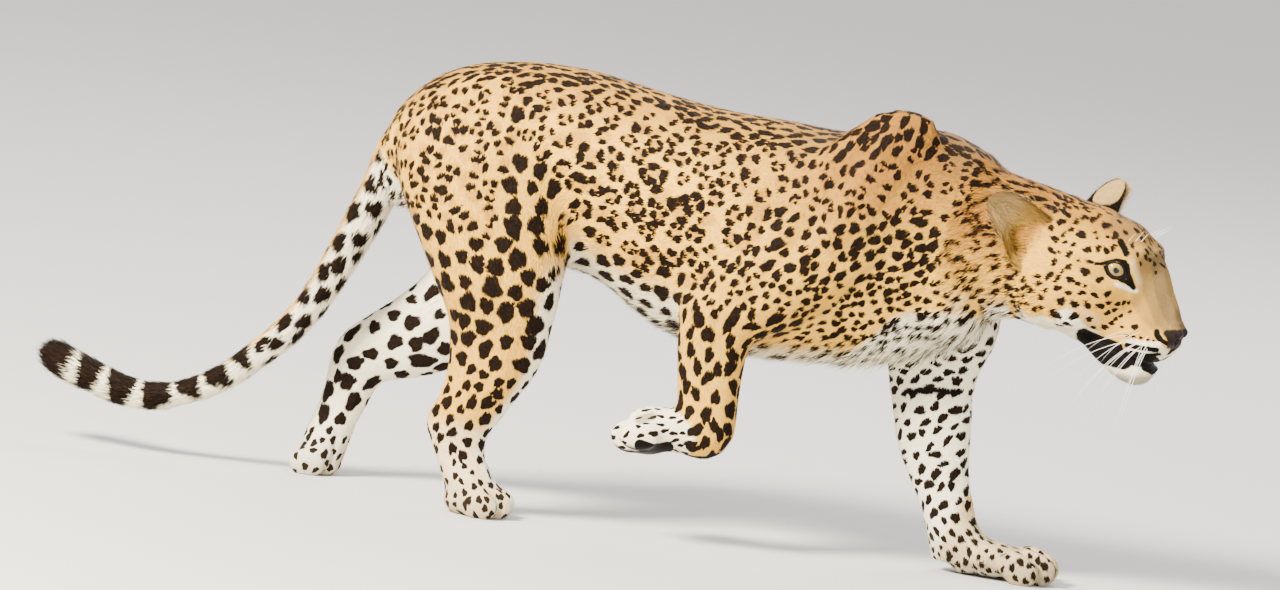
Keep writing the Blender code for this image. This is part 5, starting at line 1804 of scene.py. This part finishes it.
def coat_material(name, bump_size):
    """The coat: ground colours by region, marks with ragged edges, and the fine lie of the hairs.

    A mark is drawn where the distance from its middle, in its own lengths, is below an outline that
    swells and shrinks three and five times round it; a ring leaves out its hole, with gaps.  The
    numbers of the noises are their turns for each millimetre along and across the hairs.
    """
    made, tree, shader = new_material(name)
    here = node(tree, "ShaderNodeTexCoord", {}, {}).outputs["Object"]
    along, deep, wide = parts_of(tree, "lie")
    white, tan, dust_and_shade = parts_of(tree, "ground")
    bare, ink_and_shade, recess_shade_and_leather = parts_of(tree, "bare")
    u, t, seed = parts_of(tree, "mark")
    hole, gaps, core = parts_of(tree, "kind")
    strands = noise(tree, joined(tree, along * 0.09, deep * 0.75, wide * 0.75), 1.0, 3.0, 0.6)
    fine = noise(tree, joined(tree, along * 0.16, deep * 1.7, wide * 1.7), 1.0, 2.0, 0.6)
    wander = noise(tree, here, 95.0, 2.0)
    drift = noise(tree, here, 140.0, 1.0)
    patches = noise(tree, here, 9.0, 3.0)
    ringed = hole.step(0.05, 0.2)
    u = u + (wander - 0.5) * (ringed * 0.25 + 0.20)
    t = t + (drift - 0.5) * (ringed * 0.25 + 0.20)
    far = (u * u + t * t).math("SQRT")
    turn = t.math("ARCTAN2", u)
    outline = 1.0 + (turn * 3.0 + seed * 40.0).math("SINE") * 0.11
    outline = outline + (turn * 5.0 + seed * 91.0).math("SINE") * 0.07
    far = far / outline + (fine - 0.5) * 0.12 + (strands - 0.5) * 0.06
    whole = 1.0 - far.step(0.86, 1.06)
    inside = 1.0 - (far - hole).step(-0.12, 0.08)
    opening = (turn * gaps + seed * 57.0).math("SINE").step(0.55, 0.92)
    opening = opening * ringed * gaps.step(0.4, 0.9)
    cover = whole * (1.0 - inside * ringed) * (1.0 - opening)
    ground = blend(tree, tan, CREAM, TAWNY)
    middle = (1.0 - core.step(0.55, 1.05)) + (1.0 - far.step(0.4, 1.0)) * ringed
    ground = blend(tree, middle * 0.5, ground, RUSSET)
    ground = blend(tree, patches.step(0.42, 0.75) * 0.2, ground, TAWNY)
    ground = blend(tree, white.step(0.05, 0.95), ground, WHITE)
    ground = blend(tree, dust_and_shade * 0.85, ground, DUSTY)
    shade = (strands - 0.5) * 0.40 + (fine - 0.5) * 0.34 + 1.0
    tone = node(tree, "ShaderNodeVectorMath", {"operation": "SCALE"}, {0: ground, "Scale": shade})
    dark = blend(tree, fine.step(0.40, 0.85) * 0.6, MARK_DARK, MARK_BROWN)
    dark = blend(tree, dust_and_shade * 0.15, dark, DUSTY)
    inked_and_shaded = (ink_and_shade + (fine - 0.5) * 0.45).step(0.32, 0.68)
    colour = blend(tree, cover, tone.outputs[0], dark)
    # black markings, and painted shade under the lifted paw
    colour = blend(tree, inked_and_shaded, colour, MARK_DARK)
    # painted shade in the ears' hollows and folds, in dark brown
    colour = blend(tree, recess_shade_and_leather * 0.85, colour, MARK_BROWN)
    # bare skin is black, and the third mask browns it towards leather on the nose
    colour = blend(tree, bare, colour, blend(tree, recess_shade_and_leather, SKIN_BLACK, LEATHER))
    grain = noise(tree, here, 900.0, 2.0)
    height = (strands * 0.7 + fine * 0.5) * (1.0 - bare) + grain * bare * 0.35
    bump = node(tree, "ShaderNodeBump", {}, {"Height": height, "Distance": bump_size, "Strength": 0.8})
    feed(tree, shader.inputs, {"Base Color": colour, "Roughness": 0.72 - bare * 0.34,
                               "Normal": bump.outputs[0], "Sheen Weight": 0.03,
                               "Sheen Roughness": 0.4, "Specular IOR Level": 0.08})
    return made


def unwrap(item):
    """The skin's own unwrap, as OFBake, and its places for each corner of each face."""
    bpy.context.view_layer.objects.active = item
    item.select_set(True)
    bpy.ops.object.mode_set(mode="EDIT")
    bpy.ops.mesh.select_all(action="SELECT")
    bpy.ops.uv.smart_project(angle_limit=1.15, island_margin=0.001)
    bpy.ops.object.mode_set(mode="OBJECT")
    item.select_set(False)
    layer = item.data.uv_layers[0]
    layer.name = "OFBake"
    return numbers_of(layer.data, "uv", 2, np.float32).reshape(-1, 3, 2)


def build_skin_piece(skin, material):
    """The skin as a piece that stands for every node of flesh."""
    item = mesh_piece("skin", in_metres(skin.points), skin.tris)
    item.data.materials.append(material)
    skin.uv = unwrap(item)
    for name in ("lie", "ground", "bare"):
        give(item, name, "POINT", getattr(skin, "local" if name == "lie" else name))
    for name in ("mark", "kind"):
        give(item, name, "CORNER", getattr(skin, name).reshape(-1, 3))
    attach(item, "root")
    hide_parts(*[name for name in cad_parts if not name.startswith("eye_")])


def lay_lengths(skin):
    """The tufts at each point of the skin: length, width, rise in radians, and how many there are."""
    x, y, z = skin.points.T
    s, w, h = skin.place.T
    nx, ny, nz = skin.normals.T
    part = skin.part
    neck = part_is(part, "neck")
    tail = part_is(part, "tail")
    limbs = ~part_is(part, "trunk", "neck", "tail", "head")
    length = np.full(len(x), 6.0)
    width = np.full(len(x), 1.15)
    rise = np.full(len(x), 0.13)
    many = np.ones(len(x))
    belly = part_is(part, "trunk") * (1 - smooth(skin.height, 0.03, 0.16)) * smooth(-nz, 0.2, 0.6)
    length = length + 14 * belly
    rise = rise + 0.16 * belly
    length = length + 6 * skin.chest * smooth(-nz, -0.3, 0.3)
    rise = rise + 0.10 * skin.chest
    length = np.where(neck, 11 + 6 * smooth(-nz, 0.3, 0.8), length)
    rise = np.where(neck, 0.15 + 0.10 * smooth(-nz, 0.3, 0.8), rise)
    leg = smooth(-z, -330, -200) * limbs
    length = length - 1.6 * leg
    width = width - 0.35 * leg
    many = many + 0.2 * leg
    feet = limbs * np.maximum(1 - smooth(z, 40, 110), part_is(part, "forepaw_right"))
    length = length - 2.2 * feet
    width = width - 0.25 * feet
    many = many + 0.4 * feet
    edge = part_is(part, "hindleg_right") * smooth(nx, 0.3, 0.8)
    edge = edge * smooth(z, 330, 380) * (1 - smooth(z, 470, 520))
    length = length + 8 * edge
    rise = rise + 0.15 * edge
    length = np.where(tail, 11 + 7 * smooth(skin.share, 0.85, 1.0), length)
    rise = np.where(tail, 0.17, rise)
    head = smooth(s, -40, 20)
    face = smooth(s, 50, 150)
    short = 6.4 - 3.5 * face
    ruff = mound((s, -6, 26), (h, -52, 34)) * smooth(np.abs(w), 25, 50)
    chin = smooth(-h, 96, 110) * smooth(s, 110, 140)
    brow = mound((s, 108, 20), (h, 52, 8))
    short = short + 6 * ruff + 3.5 * chin + 1.5 * brow
    thin = 1.15 - 0.5 * face
    length = length * (1 - head) + short * head
    width = width * (1 - head) + thin * head
    rise = rise * (1 - head) + (0.14 + 0.10 * ruff + 0.12 * chin) * head
    many = many * (1 - head) + (1.6 + 2.2 * face) * head
    inner = skin.is_ear * (skin.ear[:, 3] > 0.5)
    rim = smooth(np.abs(skin.ear[:, 2]), 0.55, 0.85)
    fringed = (5.0 + inner * (5 + 7 * rim)) * (1 - 0.65 * skin.bare[:, 2])
    length = np.where(skin.is_ear, fringed, length)
    width = np.where(skin.is_ear, 0.65, width)
    rise = np.where(skin.is_ear, 0.16 + inner * 0.35, rise)
    many = np.where(skin.is_ear, 2.4 + inner * 2.0, many)
    hidden = skin.is_ear * (skin.ear[:, 1] < -0.05)
    many = many * (1 - skin.bare[:, 0]) ** 2 * (1 - hidden)
    close = near_eyes(skin.place, 1.5, 3.0, 0, 34)
    length = length * (1 - 0.5 * close)
    rise = rise * (1 - 0.7 * close)
    skin.hairs = np.stack([length, width, rise, many], axis=1)


# Tufts: how many, their patch of the unwrap, how far back their foot is sunk, how far they hang, and
# where along the head and along the trunk their pieces are parted.
# Each is a blade of five points and three triangles: two at its foot, two at its middle and its tip.
TUFTS = 430000
TUFT_PATCH = 0.0015
TUFT_BACK = 3.0
HANG = 0.35
FACE_BEGINS = 70
FLANK_PARTED = 120
BLADE_POINTS = 5
BLADE_FACES = [(0, 1, 2), (0, 2, 3), (3, 2, 4)]
BLADE_PLACES = [(-1, -1), (1, -1), (1, 0), (-1, 0), (0, 1)]
TUFT_PIECES = ("head", "face", "neck", "tail", "flank_near_front", "flank_near_rear",
               "flank_far_front", "flank_far_rear", "forelegs", "hindlegs_near", "hindleg_far")


def tuft_groups(part, points):
    """The piece that each tuft belongs to, by the part of the body where it stands."""
    x, y, z = points.T
    on_head = part_is(part, "head")
    pieces = {
        "face": on_head & (in_head(points)[:, 0] > FACE_BEGINS),
        "head": on_head,
        "neck": part_is(part, "neck"),
        "tail": part_is(part, "tail"),
        "forelegs": part_is(part, "forearm_right", "forepaw_right", "foreleg_left"),
        "hindlegs_near": part_is(part, "hindleg_right"),
        "hindleg_far": part_is(part, "thigh_left", "shank_left"),
        "flank_near_front": (y < 0) & (x > FLANK_PARTED),
        "flank_near_rear": y < 0,
        "flank_far_front": x > FLANK_PARTED,
    }
    return np.select(list(pieces.values()), list(pieces), "flank_far_rear")


def build_tufts(skin, material):
    """Blades that stand on the skin, lie along its hairs and carry the colours of their roots."""
    weight = skin.hairs[:, 3][skin.tris].mean(axis=1)
    face, share = scatter(skin, TUFTS, weight)
    root = mixed(skin.points, skin, face, share)
    normal = unit(mixed(skin.normals, skin, face, share))
    flow = mixed(skin.flow, skin, face, share)
    length, width, rise, _ = mixed(skin.hairs, skin, face, share).T
    part = skin.part[skin.tris[face, 0]]
    random = rng.normal(0.0, 1.0, (len(root), 4))
    length = length * np.exp(0.20 * random[:, 0])
    rise = rise * np.exp(0.35 * random[:, 1])
    side = np.cross(flow, normal)
    hang = part_is(part, "trunk", "neck") * smooth(-normal[:, 2], 0.2, 0.7) * HANG
    way = flow + side * (0.20 * random[:, 2])[:, None] + np.array([0.0, 0.0, -1.0]) * hang[:, None]
    way = laid_flat(way, normal)
    side = unit(np.cross(way, normal))
    half = (width * np.exp(0.18 * random[:, 3]) / 2)[:, None]
    lift = (length * np.sin(rise))[:, None] * normal
    run = length[:, None] * way
    foot = root - np.minimum(0.35 * length, TUFT_BACK)[:, None] * way
    middle = foot + 0.45 * run + 0.62 * lift
    tip = foot + 0.98 * run + 0.95 * lift
    foot = foot - 0.7 * normal
    blades = np.stack([foot - side * half * 0.7, foot + side * half * 0.7,
                       middle + side * half, middle - side * half, tip], axis=1)
    blades[:, :, 2] = np.maximum(blades[:, :, 2], SOLE_HEIGHT / 2)
    shade = unit(normal + 0.22 * random[:, 2:3] * side + 0.10 * random[:, 1:2] * way)
    values = {
        "lie": mixed(skin.local, skin, face, share) + 3.0 * random[:, :3],
        "ground": mixed(skin.ground, skin, face, share),
        "bare": mixed(skin.bare, skin, face, share) * np.array([0.0, 1.0, 0.6]),
        "mark": averaged(skin.mark[face], share),
        "kind": averaged(skin.kind[face], share),
    }
    places = averaged(skin.uv[face], share)
    group = tuft_groups(part, root)
    for name in TUFT_PIECES:
        chosen = np.nonzero(group == name)[0]
        faces = (np.arange(len(chosen))[:, None, None] * BLADE_POINTS + BLADE_FACES).reshape(-1, 3)
        item = mesh_piece("tufts_" + name, in_metres(blades[chosen].reshape(-1, 3)), faces)
        item.data.materials.append(material)
        for key, value in values.items():
            give(item, key, "POINT", np.repeat(value[chosen], BLADE_POINTS, axis=0))
        layer = item.data.uv_layers.new(name="OFBake")
        uv = places[chosen][:, None, :] + TUFT_PATCH * np.array(BLADE_PLACES)
        layer.data.foreach_set("uv", uv.reshape(-1, 2)[faces.ravel()].astype(np.float32).ravel())
        ways = np.repeat(shade[chosen], BLADE_POINTS, axis=0)
        item.data.normals_split_custom_set_from_vertices(ways.tolist())
        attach(item, "root")


# The eyeball: its iris and the rise of its cornea, points round each ring, and rings in front of and
# behind the edge of the cornea.
IRIS_RADIUS = 13.0
CORNEA_RISE = 1.5
EYE_SIDES = 48
EYE_RINGS = (22, 18)


def eye_material():
    """A wet eye: a round pupil, a pale gold iris with fine rays and a dark rim, and a brown white."""
    made, tree, shader = new_material("eye")
    x, y, _ = parts_of(tree, "iris")
    far = (x * x + y * y).math("SQRT")
    turn = y.math("ARCTAN2", x)
    spokes = joined(tree, turn.math("SINE") * 5.0, turn.math("COSINE") * 5.0, far * 0.9)
    rays = noise(tree, spokes, 2.2, 4.0, 0.7)
    colour = blend(tree, rays.step(0.30, 0.72), tint(126, 98, 36), tint(186, 156, 82))
    colour = blend(tree, (1.0 - far.step(0.30, 0.62)) * 0.6, colour, tint(122, 104, 48))
    colour = blend(tree, far.step(0.88, 1.0), colour, tint(30, 22, 14))
    colour = blend(tree, 1.0 - (far + (rays - 0.5) * 0.04).step(0.31, 0.35), colour, tint(4, 3, 3))
    colour = blend(tree, far.step(1.06, 1.2), colour, tint(74, 50, 40))
    feed(tree, shader.inputs, {"Base Color": colour, "Roughness": 0.06, "Coat Weight": 0.25,
                               "Specular IOR Level": 0.25, "Coat Roughness": 0.02})
    return made


def build_eye(side, name, stands_for, material):
    """One eyeball with the bulge of its cornea, in rings round the way it looks."""
    look, long_way, tall_way = eye_axes(side)
    front, rear = EYE_RINGS
    polar = np.concatenate([np.linspace(0.0, 0.9, front), np.linspace(0.96, math.pi, rear)])[:, None]
    turn = np.linspace(0, 2 * math.pi, EYE_SIDES, endpoint=False)[None, :]
    radius = EYE_RADIUS - 0.4 + CORNEA_RISE * np.cos(np.clip(polar / 0.85, 0, 1) * math.pi / 2) ** 2
    out = radius * np.sin(polar)
    points = (eye_centre(side) + (out * np.cos(turn))[..., None] * long_way
              + (out * np.sin(turn))[..., None] * tall_way
              + (radius * np.cos(polar) + 0 * turn)[..., None] * look).reshape(-1, 3)
    quads = grid_quads(len(polar), EYE_SIDES)[:, [0, 3, 2, 1]]
    item = mesh_piece(name, in_metres(from_head(points)), quads)
    iris = np.where(polar < math.pi / 2, out, 2 * EYE_RADIUS) / IRIS_RADIUS
    give(item, "iris", "POINT", np.stack([(iris * np.cos(turn)).ravel(), (iris * np.sin(turn)).ravel(),
                                          0 * (iris * turn).ravel()], axis=1))
    item.data.materials.append(material)
    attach(item, "root")
    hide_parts(stands_for)


# Whiskers of one side: for each row the roots' places s and h in the head's frame, and their
# thickness; and the hairs of the brow: s, w, h of a place above the root, and length.  Each hair is a
# tube of a few sides and rings.
WHISKER_ROWS = [
    [(176, -37), (164, -38), (152, -40)],
    [(183, -45), (172, -46), (160, -47), (149, -48)],
    [(184, -53), (174, -54), (163, -55), (152, -56)],
    [(180, -61), (169, -62), (158, -63)],
]
WHISKER_THICK = 0.55
WHISKER_RINGS = 9
WHISKER_SIDES = 5
BROW_HAIRS = [(112, 24, 98, 34), (106, 30, 100, 38), (98, 35, 100, 30)]


def tube(path, thick):
    """Points of a five-sided tube that tapers along a path to a fine tip."""
    way = unit(np.gradient(path, axis=0))
    side = unit(np.cross(way, (0.3, 0.5, 0.8)))
    over = np.cross(way, side)
    turn = np.linspace(0, 2 * math.pi, WHISKER_SIDES, endpoint=False)
    radius = thick * (1 - np.linspace(0, 0.92, len(path)))[:, None, None]
    ring = np.cos(turn)[None, :, None] * side[:, None, :] + np.sin(turn)[None, :, None] * over[:, None, :]
    return (path[:, None, :] + radius * ring).reshape(-1, 3)


def build_whiskers(skin):
    """Pale stiff hairs of the upper lip and the brow on both sides, each a tapered bent tube."""
    tubes = []
    for side in (1, -1):
        hairs = []
        for row, roots in enumerate(WHISKER_ROWS):
            for column, (s, h) in enumerate(roots):
                way = np.array([0.10 - 0.30 * column, 0.86, -0.20 - 0.16 * row]) + rng.normal(0, 0.08, 3)
                long = 62 + 9 * column + 6 * row + rng.normal(0, 6) + 12
                hairs.append((np.array([s, 60.0, h]), way, long, 40))
        for s, w, h, long in BROW_HAIRS:
            hairs.append((np.array([s, w, h]), np.array([0.35, 0.55, 0.75]), long, 4))
        for start, way, long, drop in hairs:
            flip = np.array([1.0, side, 1.0])
            inward = np.array([0.0, -1.0, 0.0]) if drop > 10 else np.array([0.0, 0.0, -1.0])
            hit = skin.tree.ray_cast(Vector(from_head(start * flip)), Vector(HEAD[0] @ (inward * flip)))[0]
            if hit is None:
                continue
            t = np.linspace(0, 1, WHISKER_RINGS)[:, None]
            way = HEAD[0] @ unit(way * flip)
            path = np.array(hit) - way * 1.5 + way * long * t + np.array([0, 0, -drop]) * t ** 2
            tubes.append(tube(path, WHISKER_THICK))
    quads = grid_quads(WHISKER_RINGS, WHISKER_SIDES)
    faces = np.arange(len(tubes))[:, None, None] * WHISKER_RINGS * WHISKER_SIDES + quads
    item = mesh_piece("whiskers", in_metres(np.vstack(tubes)), faces.reshape(-1, 4))
    made, tree, shader = new_material("whisker")
    along = noise(tree, node(tree, "ShaderNodeTexCoord", {}, {}).outputs["Object"], 60.0)
    colour = blend(tree, along, tint(238, 234, 222), tint(252, 250, 244))
    feed(tree, shader.inputs, {"Base Color": colour, "Roughness": 0.4})
    item.data.materials.append(made)
    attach(item, "root")


skin = build_skin()
lay_fields(skin)
lay_masks(skin)
marks, rosettes = place_marks(skin)
paint_marks(skin, marks, rosettes)
build_skin_piece(skin, coat_material("coat skin", 0.0012))
lay_lengths(skin)
build_tufts(skin, coat_material("coat tufts", 0.0004))
glass = eye_material()
build_eye(1, "eyeball_left", "eye_left", glass)
build_eye(-1, "eyeball_right", "eye_right", glass)
build_whiskers(skin)
build_camera()
build_studio()
